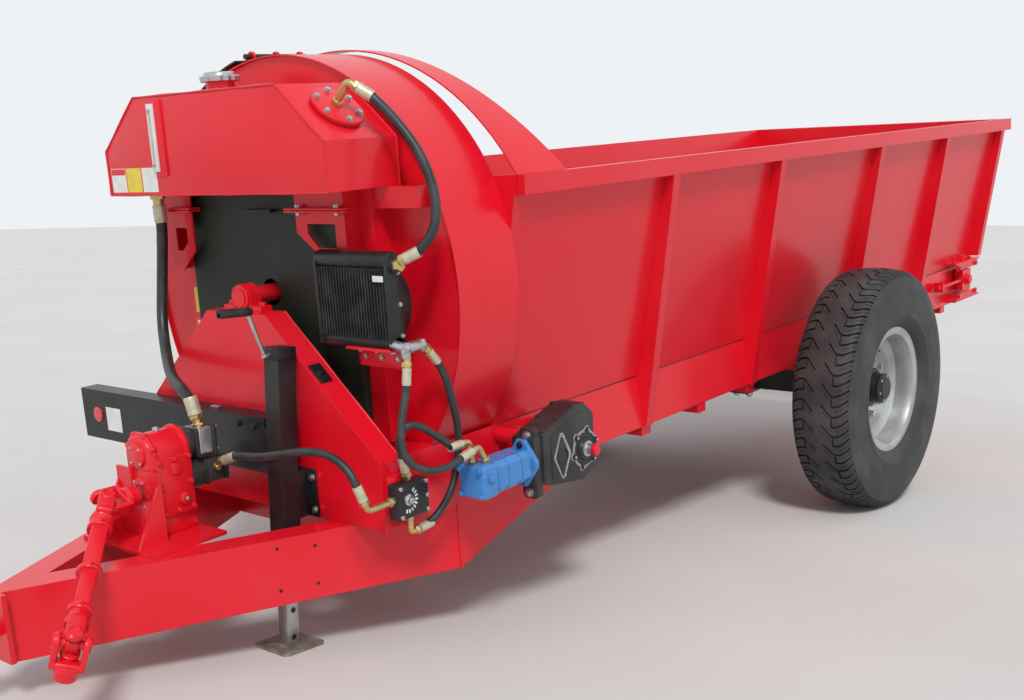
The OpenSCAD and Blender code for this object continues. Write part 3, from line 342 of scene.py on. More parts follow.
def bolt(whole, seat, out, width, paint, washer=True):
    """Hexagon head with a washer, seated on a face and pointing out of it."""
    seat, out = Vector(seat), Vector(out).normalized()
    if washer:
        gather(whole, rod(seat, seat + out * width * 0.14, width * 0.68, 16), paint)
    head = rod(seat + out * width * 0.10, seat + out * width * 0.62, width * 0.56, 6, width * 0.05)
    gather(whole, head, paint)


def on_circle(count, radius, phase=0.0):
    """Evenly spaced places on a circle, as pairs of offsets from its centre."""
    turns = [math.tau * k / count + phase for k in range(count)]
    return [(radius * math.cos(turn), radius * math.sin(turn)) for turn in turns]


rim_profile = [(-0.108, 0.292), (-0.104, 0.2925), (-0.100, 0.289), (-0.100, 0.262), (-0.060, 0.250),
    (0.060, 0.250), (0.100, 0.262), (0.100, 0.289), (0.104, 0.2925), (0.108, 0.292), (0.1085, 0.286),
    (0.106, 0.262), (0.102, 0.254), (0.085, 0.2475), (0.060, 0.244), (-0.060, 0.244), (-0.106, 0.256)]
disc_profile = [(-0.020, 0.060), (-0.020, 0.210), (-0.010, 0.232), (0.012, 0.2445), (0.020, 0.2445),
    (-0.002, 0.226), (-0.010, 0.205), (-0.010, 0.060)]
hub_profile = [(-0.0195, 0.0), (-0.0195, 0.090), (0.012, 0.090), (0.018, 0.084), (0.020, 0.072),
    (0.052, 0.066), (0.056, 0.070), (0.066, 0.070), (0.068, 0.066), (0.076, 0.050), (0.080, 0.046),
    (0.080, 0.0)]
for side, side_name in ((-1, "left"), (1, "right")):
    middle = Vector((AXLE_X, side * WHEEL_Y, WHEEL_R))
    outward = (0, side, 0)
    wheel = bmesh.new()
    gather(wheel, turned(rim_profile, 96, middle, outward, closed=True), SILVER)
    gather(wheel, turned(disc_profile, 72, middle, outward, closed=True), SILVER)
    gather(wheel, turned(hub_profile, 40, middle, outward), BLACK)
    for dx, dz in on_circle(10, 0.140):
        bolt(wheel, middle + Vector((dx, side * -0.010, dz)), outward, 0.027, ZINC)
    for dx, dz in on_circle(6, 0.056, 0.3):
        bolt(wheel, middle + Vector((dx, side * 0.068, dz)), outward, 0.013, ZINC, False)
    valve_foot = middle + Vector((0.236 * math.cos(2.2), side * 0.062, 0.236 * math.sin(2.2)))
    gather(wheel, rod(valve_foot, valve_foot + Vector((0, side * 0.036, 0)), 0.005, 10), BLACK)
    hand_over(wheel, "wheel_dressed_" + side_name, "wheel_" + side_name, False, ["wheel_" + side_name],
        angle=30)

# Bulkhead between box and drum: one cut plate; above the box's rim it is only a ring round the drum's mouth.
# The arch behind stands free of it, so that there is a narrow gap between the drum and the arch.
drum_z = 0.796
rim_z = 1.145
mouth_r, ring_r, ring_sheet = .745, .769, .005
REARWARD = (1, 0, 0)


def cut_off(mesh, height, up):
    """Mesh cut level at a height and closed there; what lies above (up is 1) or below (-1) is taken away."""
    cut = bmesh.ops.bisect_plane(mesh, geom=mesh.verts[:] + mesh.edges[:] + mesh.faces[:], dist=1e-6,
        plane_co=(0, 0, height), plane_no=(0, 0, up), clear_outer=True)
    cut_edges = [e for e in cut["geom_cut"] if isinstance(e, bmesh.types.BMEdge)]
    bmesh.ops.holes_fill(mesh, edges=cut_edges, sides=0)


plank = bmesh.new()
plank.from_mesh(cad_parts["front_bulkhead"].data)
bmesh.ops.transform(plank, matrix=STANCE.inverted(), verts=plank.verts)
bmesh.ops.remove_doubles(plank, verts=plank.verts, dist=1e-5)
cut_off(plank, rim_z, 1)
ring = [(0, mouth_r), (0, ring_r), (ring_sheet, ring_r), (ring_sheet, mouth_r)]
mouth = turned(ring, 128, (-2.325, 0, drum_z), REARWARD, closed=True)
cut_off(mouth, rim_z, -1)
bulkhead = bmesh.new()
gather(bulkhead, plank, RED)
gather(bulkhead, mouth, RED)
hand_over(bulkhead, "bulkhead_plate", hides=["front_bulkhead"])

# Arch over the drum's mouth: one bent strip of 5 mm plate, wide at its feet and narrow on top.
# A gap stays open between it and the drum. It is welded to the rails and to the ends of the bulkhead.
arch_front, arch_z = -2.320, .654
arch_r, arch_sheet = .925, .005
foot_turn = math.radians(32.06)
top_width, foot_flare = 0.072, 0.183
arch_rear = arch_front + top_width
arch = bmesh.new()
corners = []
for x, r in ((arch_front, arch_r), (arch_rear, arch_r), (arch_rear, arch_r - arch_sheet),
        (arch_front, arch_r - arch_sheet)):
    corners.append(arch.verts.new((x, -r * math.cos(foot_turn), arch_z + r * math.sin(foot_turn))))
section = [arch.edges.new(pair) for pair in zip(corners, corners[1:] + corners[:1])]
bmesh.ops.spin(arch, geom=corners + section, cent=(0, 0, arch_z), axis=(-1, 0, 0),
    angle=math.pi - 2 * foot_turn, steps=48)
bmesh.ops.holes_fill(arch, edges=arch.edges[:], sides=4)
for vert in arch.verts:
    if vert.co.x > arch_front + top_width / 2:
        turn = math.atan2(vert.co.z - arch_z, -vert.co.y)
        to_foot = min(1.0, abs(turn - math.pi / 2) / (math.pi / 2 - foot_turn))
        vert.co.x = arch_rear + foot_flare * to_foot ** 2.2
bmesh.ops.recalc_face_normals(arch, faces=arch.faces)
strip = bmesh.new()
gather(strip, arch, RED)
hand_over(strip, "arch_strip", hides=["arch_hoop"])

# Oil tank: a folded and welded sheet-steel reservoir on top of the front, with sloping shoulders.
# Weld beads run round its folds; a return flange, a filler neck, a sight gauge and blank plates sit on it.
GLASS = finish("gauge_glass", (0.55, 0.56, 0.52), (0.40, 0.42, 0.36), 0.10, coat=0.6, scale=40)
WHITE = finish("plate_white", (0.78, 0.78, 0.76), (0.70, 0.69, 0.66), 0.32, scale=30)
YELLOW = finish("plate_yellow", (0.80, 0.62, 0.06), (0.70, 0.52, 0.06), 0.32, scale=30)
AHEAD = (-1, 0, 0)


def bar(low, high, edge=0.0, segments=2):
    """Rectangular piece between two corners, its edges broken."""
    low, high = Vector(low), Vector(high)
    mesh = bmesh.new()
    bmesh.ops.create_cube(mesh, size=1)
    bmesh.ops.transform(mesh, matrix=Matrix.Translation((low + high) / 2) @ Matrix.Diagonal((*(high - low),
        1)), verts=mesh.verts)
    if edge:
        bmesh.ops.bevel(mesh, geom=mesh.edges[:], offset=edge, affect="EDGES", segments=segments, profile=0.5,
            material=-1)
    return mesh


def edge_way(edge):
    """Direction of an edge."""
    return (edge.verts[0].co - edge.verts[1].co).normalized()


def plate(outline, start, depth, along="x", edge=0.0, corner=0.0, segments=2):
    """Flat outline extruded along an axis; corner rounds its outline and edge breaks its faces."""
    lay = {"x": lambda u, v: (start, u, v), "y": lambda u, v: (u, start, v), "z": lambda u,
        v: (u, v, start)}[along]
    mesh = bmesh.new()
    face = mesh.faces.new([mesh.verts.new(lay(u, v)) for u, v in outline])
    push = Vector({"x": (depth, 0, 0), "y": (0, depth, 0), "z": (0, 0, depth)}[along])
    made = bmesh.ops.extrude_face_region(mesh, geom=[face], use_keep_orig=True)
    bmesh.ops.translate(mesh, vec=push, verts=[v for v in made["geom"] if isinstance(v, bmesh.types.BMVert)])
    bmesh.ops.recalc_face_normals(mesh, faces=mesh.faces)
    axis = push.normalized()
    if corner:
        folds = [e for e in mesh.edges if abs(edge_way(e).dot(axis)) > 0.99]
        bmesh.ops.bevel(mesh, geom=folds, offset=corner, affect="EDGES", segments=4, profile=0.5, material=-1)
    if edge:
        rims = [e for e in mesh.edges if abs(edge_way(e).dot(axis)) < 0.01]
        bmesh.ops.bevel(mesh, geom=rims, offset=edge, affect="EDGES", segments=segments, profile=0.5,
            material=-1)
    return mesh


def weld_bead(whole, points, radius=0.004, closed=False):
    """Bead of weld along a line of points, lumpy where the welder stopped, and painted over."""
    stretch, swell, ripple = 0.03, 0.22, 190
    points = [Vector(q) for q in points]
    if closed:
        points.append(points[0])
    for a, b in zip(points, points[1:]):
        along = (b - a).normalized()
        count = max(2, int((b - a).length / stretch))
        bead = rod(a, b, radius, 6)
        if count > 2:
            runs = [e for e in bead.edges if abs(edge_way(e).dot(along)) > 0.9]
            bmesh.ops.subdivide_edges(bead, edges=runs, cuts=count)
            for vert in bead.verts:
                lump = 1 + swell * math.sin((vert.co - a).length * ripple)
                middle = a + along * (vert.co - a).dot(along)
                vert.co = middle + (vert.co - middle) * lump
        gather(whole, bead, RED)


def ferrule(whole, hose_end, length=0.052):
    """Pressed sleeve over a hose's end, with a rolled collar where it grips."""
    end, out, radius = hose_end
    sleeve = [(0.0, radius * 1.02), (0.0, radius * 1.20), (0.006, radius * 1.26), (0.012, radius * 1.14),
        (0.020, radius * 1.20), (length - 0.006, radius * 1.20), (length, radius * 1.10),
        (length, radius * 1.01)]
    gather(whole, turned(sleeve, 20, end, -out, closed=True), IVORY)


def knee_of(hose_end, reach):
    """Place of the knee of an elbow that reaches out of a hose's end."""
    end, out, _ = hose_end
    return end + out * reach


def elbow(whole, hose_end, reach, port, radius, sleeve=0.052):
    """Forged elbow on a hose's end: sleeve, nut, a rounded knee, and a leg with a hexagon at its port."""
    end, port = hose_end[0], Vector(port)
    knee = knee_of(hose_end, reach)
    into, leave = (knee - end).normalized(), (port - knee).normalized()
    pipe_r, turn_r = radius * 0.86, radius * 1.3
    bend = [knee - into * turn_r * (1 - t) ** 2 + leave * turn_r * t ** 2 for t in (0, .2, .4, .6, .8, 1)]
    path = [end] + bend + [port]
    for a, b in zip(path, path[1:]):
        gather(whole, rod(a, b, pipe_r, 18), BRASS)
    for q in path[2:-2]:
        ball = bmesh.new()
        bmesh.ops.create_icosphere(ball, subdivisions=2, radius=pipe_r)
        bmesh.ops.translate(ball, vec=q, verts=ball.verts)
        gather(whole, ball, BRASS)
    gather(whole, rod(end + into * 0.001, end + into * 0.016, radius * 1.32, 6, 0.0015), BRASS)
    hexagon = min(0.018, (port - knee).length * 0.5)
    gather(whole, rod(port - leave * hexagon, port, radius * 1.28, 6, 0.0015), BRASS)
    ferrule(whole, hose_end, sleeve)


tank = bmesh.new()
tank_front, tank_depth, fold_weld = -2.905, 0.294, 0.0005
tank_shape = [(-.558, 1.138), (.558, 1.138), (.558, 1.286), (.362, 1.456), (-.362, 1.456), (-.558, 1.286)]
gather(tank, plate(tank_shape, tank_front, tank_depth, "x", edge=0.005), RED)
for x in (tank_front + fold_weld, tank_front + tank_depth - fold_weld):
    weld_bead(tank, [(x, y, z) for y, z in tank_shape], 0.0035, closed=True)
shoulder = math.radians(40.94)
slope_out = Vector((0, -math.sin(shoulder), math.cos(shoulder)))
flange_at = Vector((-2.760, -.460, 1.371))
flange_top = 0.020
for low, high, flange_r, sides, edge in ((-0.002, 0.008, 0.077, 48, 0.001),
        (0.008, flange_top, 0.085, 56, 0.002)):
    gather(tank, rod(flange_at + slope_out * low, flange_at + slope_out * high, flange_r, sides, edge), RED)
for k in range(6):
    arm = Matrix.Rotation(math.tau * k / 6 + 0.4, 3, slope_out) @ Vector((0.068, 0, 0))
    bolt(tank, flange_at + slope_out * flange_top + arm, slope_out, 0.016, ZINC)
return_hose, reach = hose_ends["tank", "start"], 0.040
knee = knee_of(return_hose, reach)
port = knee - slope_out * ((knee - flange_at).dot(slope_out) - 0.018)
elbow(tank, return_hose, reach, port, 0.014)
cap_at = Vector((-2.765, .070, 1.456))
neck = [(0, 0), (0, .056), (.006, .056), (.007, .046), (.036, .046), (.036, 0)]
gather(tank, turned(neck, 40, cap_at), RED)
cap = turned([(.031, 0), (.031, .056), (.033, .061), (.047, .062), (.050, .059), (.051, .053), (.058, .051),
    (.062, .044), (.062, 0)], 96, cap_at)
grip_r, grip_low, lobes = 0.055, 0.029, 14
for vert in cap.verts:
    arm = vert.co - cap_at
    if grip_r < math.hypot(arm.x, arm.y) and arm.z > grip_low:
        wave = 1 + 0.055 * math.cos(lobes * math.atan2(arm.y, arm.x))
        vert.co = cap_at + Vector((arm.x * wave, arm.y * wave, arm.z))
gather(tank, cap, ZINC)
gather(tank, bar((-2.9110, .208, 1.200), (-2.9045, .266, 1.444), 0.0015), RED)
gather(tank, bar((-2.9190, .242, 1.214), (-2.9100, .274, 1.432), 0.002), WHITE)
gather(tank, bar((-2.9200, .251, 1.244), (-2.9185, .265, 1.402), 0.0005, 1), GLASS)
for z in (1.236, 1.410):
    bolt(tank, (-2.9190, .258, z), AHEAD, 0.011, ZINC, False)
for y, colour in ((.455, WHITE), (.365, YELLOW), (.275, WHITE)):
    gather(tank, bar((-2.9058, y, 1.148), (-2.9048, y + .084, 1.228)), colour)
gather(tank, bar((-2.9062, .457, 1.206), (-2.9050, .537, 1.226)), RED)
hose_top = hose_ends["suction", "start"][0]
gather(tank, rod(hose_top, (hose_top.x, hose_top.y, 1.138), 0.019, 24), BRASS)
gather(tank, rod((hose_top.x, hose_top.y, 1.116), (hose_top.x, hose_top.y, 1.1375), 0.026, 6, 0.002), BRASS)
ferrule(tank, hose_ends["suction", "start"], 0.06)
hand_over(tank, "oil_tank_dressed", hides=["oil_tank"])

# Oil cooler: a brazed aluminium core between a round top tank and a bottom bar, all black.
# It is bolted to a red folded shelf; a shrouded fan stands behind it, and brass fittings carry the hoses.
FIN = finish("cooler_core", (0.020, 0.020, 0.021), (0.05, 0.05, 0.05), 0.45, metal=0.3, scale=20, grain=300)
fan = Vector((-2.738, -.510, .790))
fins, fin_gap = 25, .0125
blades = 7
LEFT, DOWN = (0, -1, 0), (0, 0, -1)


def straight(whole, hose_end, reach, radius, nut_to):
    """Straight fitting on a hose's end: sleeve, nut and a short pipe."""
    end, out, _ = hose_end
    gather(whole, rod(end, end + out * reach, radius, 20), BRASS)
    gather(whole, rod(end + out * 0.002, end + out * nut_to, 0.0165, 6, 0.0015), BRASS)
    ferrule(whole, hose_end)


cooler = bmesh.new()
gather(cooler, bar((-2.790, -.655, .690), (-2.748, -.345, .905)), FIN)
for k in range(fins):
    y = -.650 + k * fin_gap
    gather(cooler, bar((-2.7985, y, .692), (-2.740, y + .0045, .903), 0.001, 1), FIN)
for z in (.700, .796, .892):
    bolt(cooler, (-2.754, -.661, z), LEFT, 0.011, ZINC)
for y in (-.661, -.349):
    gather(cooler, bar((-2.800, y, .664), (-2.738, y + .010, .927), 0.002), BLACK)
for low_y, high_y, z, tank_r, edge in ((-.665, -.335, .927, 0.029, 0.006),
        (-.661, -.339, .679, 0.0245, 0.005)):
    gather(cooler, rod((-2.769, low_y, z), (-2.769, high_y, z), tank_r, 32, edge), BLACK)
shroud = [(0.0, .100), (0.0, .128), (.012, .137), (.048, .137), (.048, .104), (.030, .100)]
gather(cooler, turned(shroud, 48, fan, REARWARD, closed=True), BLACK)
fan_motor = [(.004, 0), (.004, .034), (.034, .036), (.036, .058), (.054, .058), (.058, .054), (.058, 0)]
gather(cooler, turned(fan_motor, 32, fan, REARWARD), BLACK)
for k in range(blades):
    blade = bar((-2.730, -.006, .030), (-2.727, .030, .100), 0.001, 1)
    bmesh.ops.rotate(blade, cent=(-2.7285, 0, .06), matrix=Matrix.Rotation(0.5, 3, "Z"), verts=blade.verts)
    around = Matrix.Rotation(math.tau * k / blades, 3, "X")
    bmesh.ops.rotate(blade, cent=(0, 0, 0), matrix=around, verts=blade.verts)
    bmesh.ops.translate(blade, vec=(0, fan.y, fan.z), verts=blade.verts)
    gather(cooler, blade, BLACK)
guard_at = Vector((-2.706, fan.y, fan.z))
for dy, dz in on_circle(8, .110):
    gather(cooler, rod(guard_at, guard_at + Vector((0, dy, dz)), 0.0025, 8), BLACK)
for low, high in (((-2.800, -.651, .654), (-2.738, -.455, .662)),
        ((-2.748, -.641, .594), (-2.740, -.455, .655)), ((-2.748, -.467, .594), (-2.6725, -.455, .655))):
    gather(cooler, bar(low, high, 0.001), RED)
for y in (-.630, -.560, -.490):
    bolt(cooler, (-2.770, y, .654), DOWN, 0.014, ZINC)
    bolt(cooler, (-2.748, y, .625), AHEAD, 0.013, ZINC)
elbow(cooler, hose_ends["tank", "stop"], 0.030, (-2.766, -.660, .912), 0.014)
gather(cooler, rod((-2.768, -.660, .916), (-2.768, -.672, .916), 0.024, 28, 0.001), BLACK)
gather(cooler, rod((-2.768, -.672, .916), (-2.768, -.692, .918), 0.0215, 6, 0.002), BRASS)
gather(cooler, bar((-2.8012, -.645, .868), (-2.8002, -.600, .886)), WHITE)
tee_y, tee_z = -.700, .670
tee = Vector((-2.785, tee_y, tee_z))
for start, end, pipe_r, edge in (((-2.798, tee_y, tee_z), (-2.708, tee_y, tee_z), 0.0175, 0.003),
        (tee, (-2.785, -.650, .678), 0.0155, 0), (tee, tee + Vector((0, 0, -.030)), 0.0150, 0.002)):
    gather(cooler, rod(start, end, pipe_r, 24, edge), ZINC)
for hose in ("cooler", "motor_return"):
    straight(cooler, hose_ends[hose, "start"], 0.040, 0.0115, 0.018)
for low_x, high_x in ((-2.793, -2.777), (-2.725, -2.709)):
    gather(cooler, rod((low_x, tee_y, tee_z), (high_x, tee_y, tee_z), 0.0205, 6, 0.0015), ZINC)
hand_over(cooler, "cooler_dressed", hides=["cooler"])

# Flow valve: a drilled black steel block bolted to a red pad on the left side plate.
# A knob with a white arc scale sets the conveyor's speed; brass elbows carry the hoses.
valve = bmesh.new()
valve_face = -.700
hub_at = Vector((-2.824, valve_face, .210))
gather(valve, bar((-2.866, valve_face, .150), (-2.734, -.656, .262), 0.004), BLACK)
gather(valve, bar((-2.850, -.6558, .170), (-2.780, -.630, .280), 0.003), RED)
socket_head = [(0, 0), (0, .007), (.006, .007), (.007, .006), (.007, .0035), (.003, .0035), (.003, 0)]
for x, z in ((-2.855, .161), (-2.745, .161), (-2.855, .251), (-2.745, .251), (-2.745, .206)):
    gather(valve, turned(socket_head, 16, (x, valve_face, z), LEFT), ZINC)
knob = [(0, 0), (0, .018), (.006, .018), (.008, .013), (.010, .011), (.018, .0105), (.020, .008), (.020, 0)]
gather(valve, turned(knob, 24, hub_at, LEFT), ZINC)
scale_r = .036
for k in range(9):
    step = math.radians(-104 + 19 * k)
    spot = hub_at + Vector((scale_r * math.cos(step), -.0006, scale_r * math.sin(step)))
    tick = bar(spot + Vector((-.0032, -.0004, -.006)), spot + Vector((.0032, .0008, .006)))
    bmesh.ops.rotate(tick, cent=spot, matrix=Matrix.Rotation(math.pi / 2 - step, 3, "Y"), verts=tick.verts)
    gather(valve, tick, WHITE)
gather(valve, rod((-2.734, -.678, .206), (-2.722, -.678, .206), 0.011, 20, 0.002), ZINC)
reach = 0.034
knee = knee_of(hose_ends["pump", "stop"], reach)
elbow(valve, hose_ends["pump", "stop"], reach, (-2.864, knee.y, knee.z), 0.012)
knee = knee_of(hose_ends["motor_return", "stop"], reach)
elbow(valve, hose_ends["motor_return", "stop"], reach, (knee.x, knee.y, .152), 0.011)
straight(valve, hose_ends["motor_feed", "start"], 0.032, 0.011, 0.017)
hand_over(valve, "flow_valve_dressed", hides=["flow_valve"])

# Conveyor motor: a blue hydraulic motor on the gearbox's nose, with a stepped body and a bolted square end.
# A rhombic flange with two bolts holds it; two brass elbows on top carry its feed and return.
BLUE = finish("motor_blue", (0.040, 0.220, 0.56), (0.06, 0.27, 0.62), 0.34, coat=0.3, grain=120,
    round_edge=0.0015)
motor_y, motor_z = -.785, .225
motor = bmesh.new()


def around_motor(outline, grow=1.0):
    """Outline set about the motor's axis."""
    return [(motor_y + y * grow, motor_z + z * grow) for y, z in outline]


rhomb = [(-.062, .010), (-.016, .078), (.016, .078), (.062, .010), (.062, -.010), (.016, -.078),
    (-.016, -.078), (-.062, -.010)]
flange_x = -2.386
gather(motor, plate(around_motor(rhomb), flange_x, .019, "x", edge=0.003), BLUE)
eight = [(-.052, .034), (-.034, .052), (.034, .052), (.052, .034), (.052, -.034), (.034, -.052),
    (-.034, -.052), (-.052, -.034)]
for x, depth, grow in ((-2.565, .185, .94), (-2.556, .046, 1.0), (-2.506, .062, 1.0), (-2.440, .040, 1.0)):
    gather(motor, plate(around_motor(eight, grow), x, depth, "x", edge=0.002), BLUE)
end_x, end_half, bolt_off = -2.630, .054, .040
end_low = (end_x, motor_y - end_half, motor_z - end_half)
end_high = (-2.560, motor_y + end_half, motor_z + end_half)
gather(motor, bar(end_low, end_high, 0.010, 3), BLUE)
for dy in (-bolt_off, bolt_off):
    for dz in (-bolt_off, bolt_off):
        bolt(motor, (end_x, motor_y + dy, motor_z + dz), AHEAD, 0.016, BLUE, False)
for dz in (-.062, .062):
    bolt(motor, (flange_x, motor_y, motor_z + dz), AHEAD, 0.016, BLACK)
plug_z = motor_z + .012
gather(motor, rod((-2.600, motor_y - .053, plug_z), (-2.600, motor_y - .064, plug_z), 0.013, 6, 0.002), BLUE)
for hose, port in (("cooler", (-2.575, -.805, .278)), ("motor_feed", (-2.602, -.775, .278))):
    elbow(motor, hose_ends[hose, "stop"], 0.036, port, 0.011)
hand_over(motor, "motor_dressed", hides=["hydraulic_motor"])

# Conveyor gearbox: a black cast-iron worm housing, bolted up by two lugs, with a lid on its slanted top.
# On its side, a diamond cover and a round one with six bolted ears sit on pale gaskets, and a bright stub
# with a red cap comes out of the round one.
GASKET = finish("gasket_grey", (0.30, 0.30, 0.29), (0.38, 0.37, 0.35), 0.6, scale=40)
CAST = finish("cast_black", (0.014, 0.014, 0.015), (0.035, 0.034, 0.032), 0.48, coat=0.15, grain=110,
    bump=0.0012, round_edge=0.002)
gearbox = bmesh.new()
side_y = -.840
gasket_y, cover_depth = -.8425, .004
case = [(-2.328, .148), (-2.290, .130), (-2.113, .104), (-2.052, .140), (-2.048, .325), (-2.098, .372),
    (-2.140, .372), (-2.328, .310)]
gather(gearbox, plate(case, -.836, .104, "y", edge=0.006), CAST)
nose = [(-2.366, .150), (-2.300, .132), (-2.300, .324), (-2.366, .303)]
gather(gearbox, plate(nose, -.826, .094, "y", edge=0.004), CAST)
raised = [(-2.290, .150), (-2.118, .118), (-2.070, .146), (-2.064, .308), (-2.110, .346), (-2.150, .344),
    (-2.290, .300)]
gather(gearbox, plate(raised, side_y, .012, "y", edge=0.003), CAST)
diamond = [(-2.243, .298), (-2.231, .298), (-2.192, .226), (-2.192, .214), (-2.231, .142), (-2.243, .142),
    (-2.280, .214), (-2.280, .226)]
gather(gearbox, plate(diamond, gasket_y, .003, "y"), GASKET)
inner = [(-2.240 + (x + 2.237) * .74, .220 + (z - .220) * .84) for x, z in diamond]
gather(gearbox, plate(inner, -.8455, cover_depth, "y", edge=0.002), CAST)
lip = [(0, .024), (0, .028), (.002, .028), (.002, .024)]
gather(gearbox, turned(lip, 36, (-2.239, -.8455, .220), LEFT, closed=True), CAST)
for z in (.286, .154):
    bolt(gearbox, (-2.237, -.8440, z), LEFT, 0.010, ZINC, False)
stub_x, stub_z = -2.114, .216
for dx, dz in on_circle(6, .064, 0.26):
    x, z = stub_x + dx, stub_z + dz
    gather(gearbox, rod((x, side_y, z), (x, gasket_y, z), 0.0140, 20), GASKET)
    gather(gearbox, rod((x, gasket_y, z), (x, gasket_y - cover_depth, z), 0.0100, 20, 0.001), CAST)
    bolt(gearbox, (x, gasket_y - cover_depth, z), LEFT, 0.009, ZINC, False)
gather(gearbox, rod((stub_x, side_y, stub_z), (stub_x, gasket_y, stub_z), 0.0655, 48), GASKET)
round_cover = [(0, 0), (0, .056), (.004, .056), (.005, .053), (.002, .050), (.002, .040), (.007, .038),
    (.007, .030), (.006, .028), (.006, 0)]
stub = [(0, 0), (0, .027), (.008, .027), (.010, .020), (.014, .018), (.030, .018), (.030, 0)]
red_cap = [(0, 0), (0, .017), (.002, .019), (.016, .019), (.018, .017), (.018, 0)]
for shape, y, sides, colour in ((round_cover, gasket_y, 48, CAST), (stub, -.848, 32, ZINC),
        (red_cap, -.878, 32, RED)):
    gather(gearbox, turned(shape, sides, (stub_x, y, stub_z), LEFT), colour)
for z, rise in ((.311, 1), (.117, -1)):
    lug = [(-.822, z - rise * .060), (-.822, z + rise * .012), (-.808, z + rise * .022),
        (-.772, z + rise * .022), (-.758, z + rise * .012), (-.758, z - rise * .060)]
    gather(gearbox, plate(lug, -2.352, .030, "x", edge=0.003), CAST)
    bolt(gearbox, (-2.352, -.790, z), AHEAD, 0.022, ZINC)
slant = (Vector((-2.140, 0, .372)) - Vector((-2.328, 0, .310))).normalized()
slant_up = Vector((-slant.z, 0, slant.x))
lid_at = Vector((-2.238, -.784, .3397)) + slant_up * .002
lid_size = Matrix.Diagonal((.204, .094, .007, 1))
lid = bmesh.new()
bmesh.ops.create_cube(lid, size=1)
bmesh.ops.bevel(lid, geom=lid.edges[:], offset=0.02, segments=2, affect="EDGES", profile=0, material=-1)
bmesh.ops.transform(lid, matrix=Matrix.Translation(lid_at) @ Matrix.Rotation(-math.asin(slant.z), 4, "Y")
    @ lid_size, verts=lid.verts)
gather(gearbox, lid, CAST)
for share in (0.08, 0.5, 0.92):
    for y in (-.824, -.744):
        spot = Vector((-2.334, y, .308)) + slant * (share * .202) + slant_up * .005
        bolt(gearbox, spot, slant_up, 0.011, CAST, False)
gather(gearbox, rod((-2.112, -.730, .240), (-2.112, -.629, .240), 0.060, 40, 0.003), RED)
gather(gearbox, rod((-2.305, -.730, .285), (-2.305, -.624, .285), 0.024, 28, 0.002), RED)
hand_over(gearbox, "conveyor_gearbox_dressed", hides=["conveyor_gearbox"])

# Input gearbox and oil pumps: a round-topped red casting on the drawbar with two gear pumps behind it.
# The upper pump is bright aluminium between black ends, the lower one black; brass ports take their hoses.
ALLOY = finish("pump_alloy", (0.50, 0.51, 0.52), (0.42, 0.42, 0.41), 0.38, metal=0.8, scale=30, grain=200)
inlet = bmesh.new()
top_z, top_r, front_x, cover_y = .370, .066, -3.285, -.0785
UP = (0, 0, 1)
crown = [(top_r * math.cos(math.pi * k / 14), top_z + top_r * math.sin(math.pi * k / 14)) for k in range(15)]
outline = [(-top_r, .165), (top_r, .165)] + crown
gather(inlet, plate(outline, front_x, .150, "x", edge=0.008, segments=3), RED)
gather(inlet, bar((front_x, -.060, .1142), (-3.135, .060, .166), 0.003), RED)
band = [(y * 1.10, top_z + (z - top_z) * 1.10 if z > top_z else z + .02) for y, z in outline]
for x in (-3.276, -3.158):
    gather(inlet, plate(band, x, .014, "x", edge=0.003), RED)
for k in range(4):
    ray = math.pi * (k + .5) / 4
    y, z = .068 * math.cos(ray), top_z + .068 * math.sin(ray)
    gather(inlet, rod((-3.280, y, z), (-3.260, y, z), 0.0095, 16, 0.002), RED)
input_cover = [(0, 0), (0, .052), (.006, .052), (.009, .049), (.009, .030), (.004, .028), (.004, 0)]
upper_cover = [(0, 0), (0, .040), (.006, .040), (.008, .037), (.008, 0)]
for cover_shape, z, count, bolt_r, phase, width in ((input_cover, .250, 6, .043, 0, 0.010),
        (upper_cover, .372, 4, .032, math.tau / 8, 0.009)):
    gather(inlet, turned(cover_shape, 36, (front_x - .0002, 0, z), AHEAD), RED)
    for dy, dz in on_circle(count, bolt_r, phase):
        bolt(inlet, (-3.291, dy, z + dz), AHEAD, width, ZINC, False)
gather(inlet, rod((-3.330, 0, .250), (front_x, 0, .250), 0.020, 24, 0.002), ZINC)
side_cover = [(-3.273, .178), (-3.147, .178), (-3.147, .362), (-3.273, .362)]
gather(inlet, plate(side_cover, -.0655, -.013, "y", edge=0.003, corner=0.008), RED)
for x in (-3.263, -3.210, -3.157):
    for z in (.188, .270, .352):
        if (x, z) != (-3.210, .270):
            bolt(inlet, (x, cover_y, z), LEFT, 0.014, RED)
side_boss = [(0, 0), (0, .020), (.003, .020), (.004, .017), (.004, 0)]
plug_boss = [(0, 0), (0, .019), (.008, .019), (.010, .016), (.010, 0)]
gather(inlet, turned(side_boss, 32, (-3.205, cover_y, .322), LEFT), RED)
gather(inlet, turned(plug_boss, 28, (-3.188, cover_y, .222), LEFT), RED)
bolt(inlet, (-3.188, cover_y - .010, .222), LEFT, 0.014, ZINC, False)
bolt(inlet, (-3.210, 0, .434), UP, 0.018, ZINC)
hand_over(inlet, "input_gearbox_dressed", hides=["pto_gearbox"])

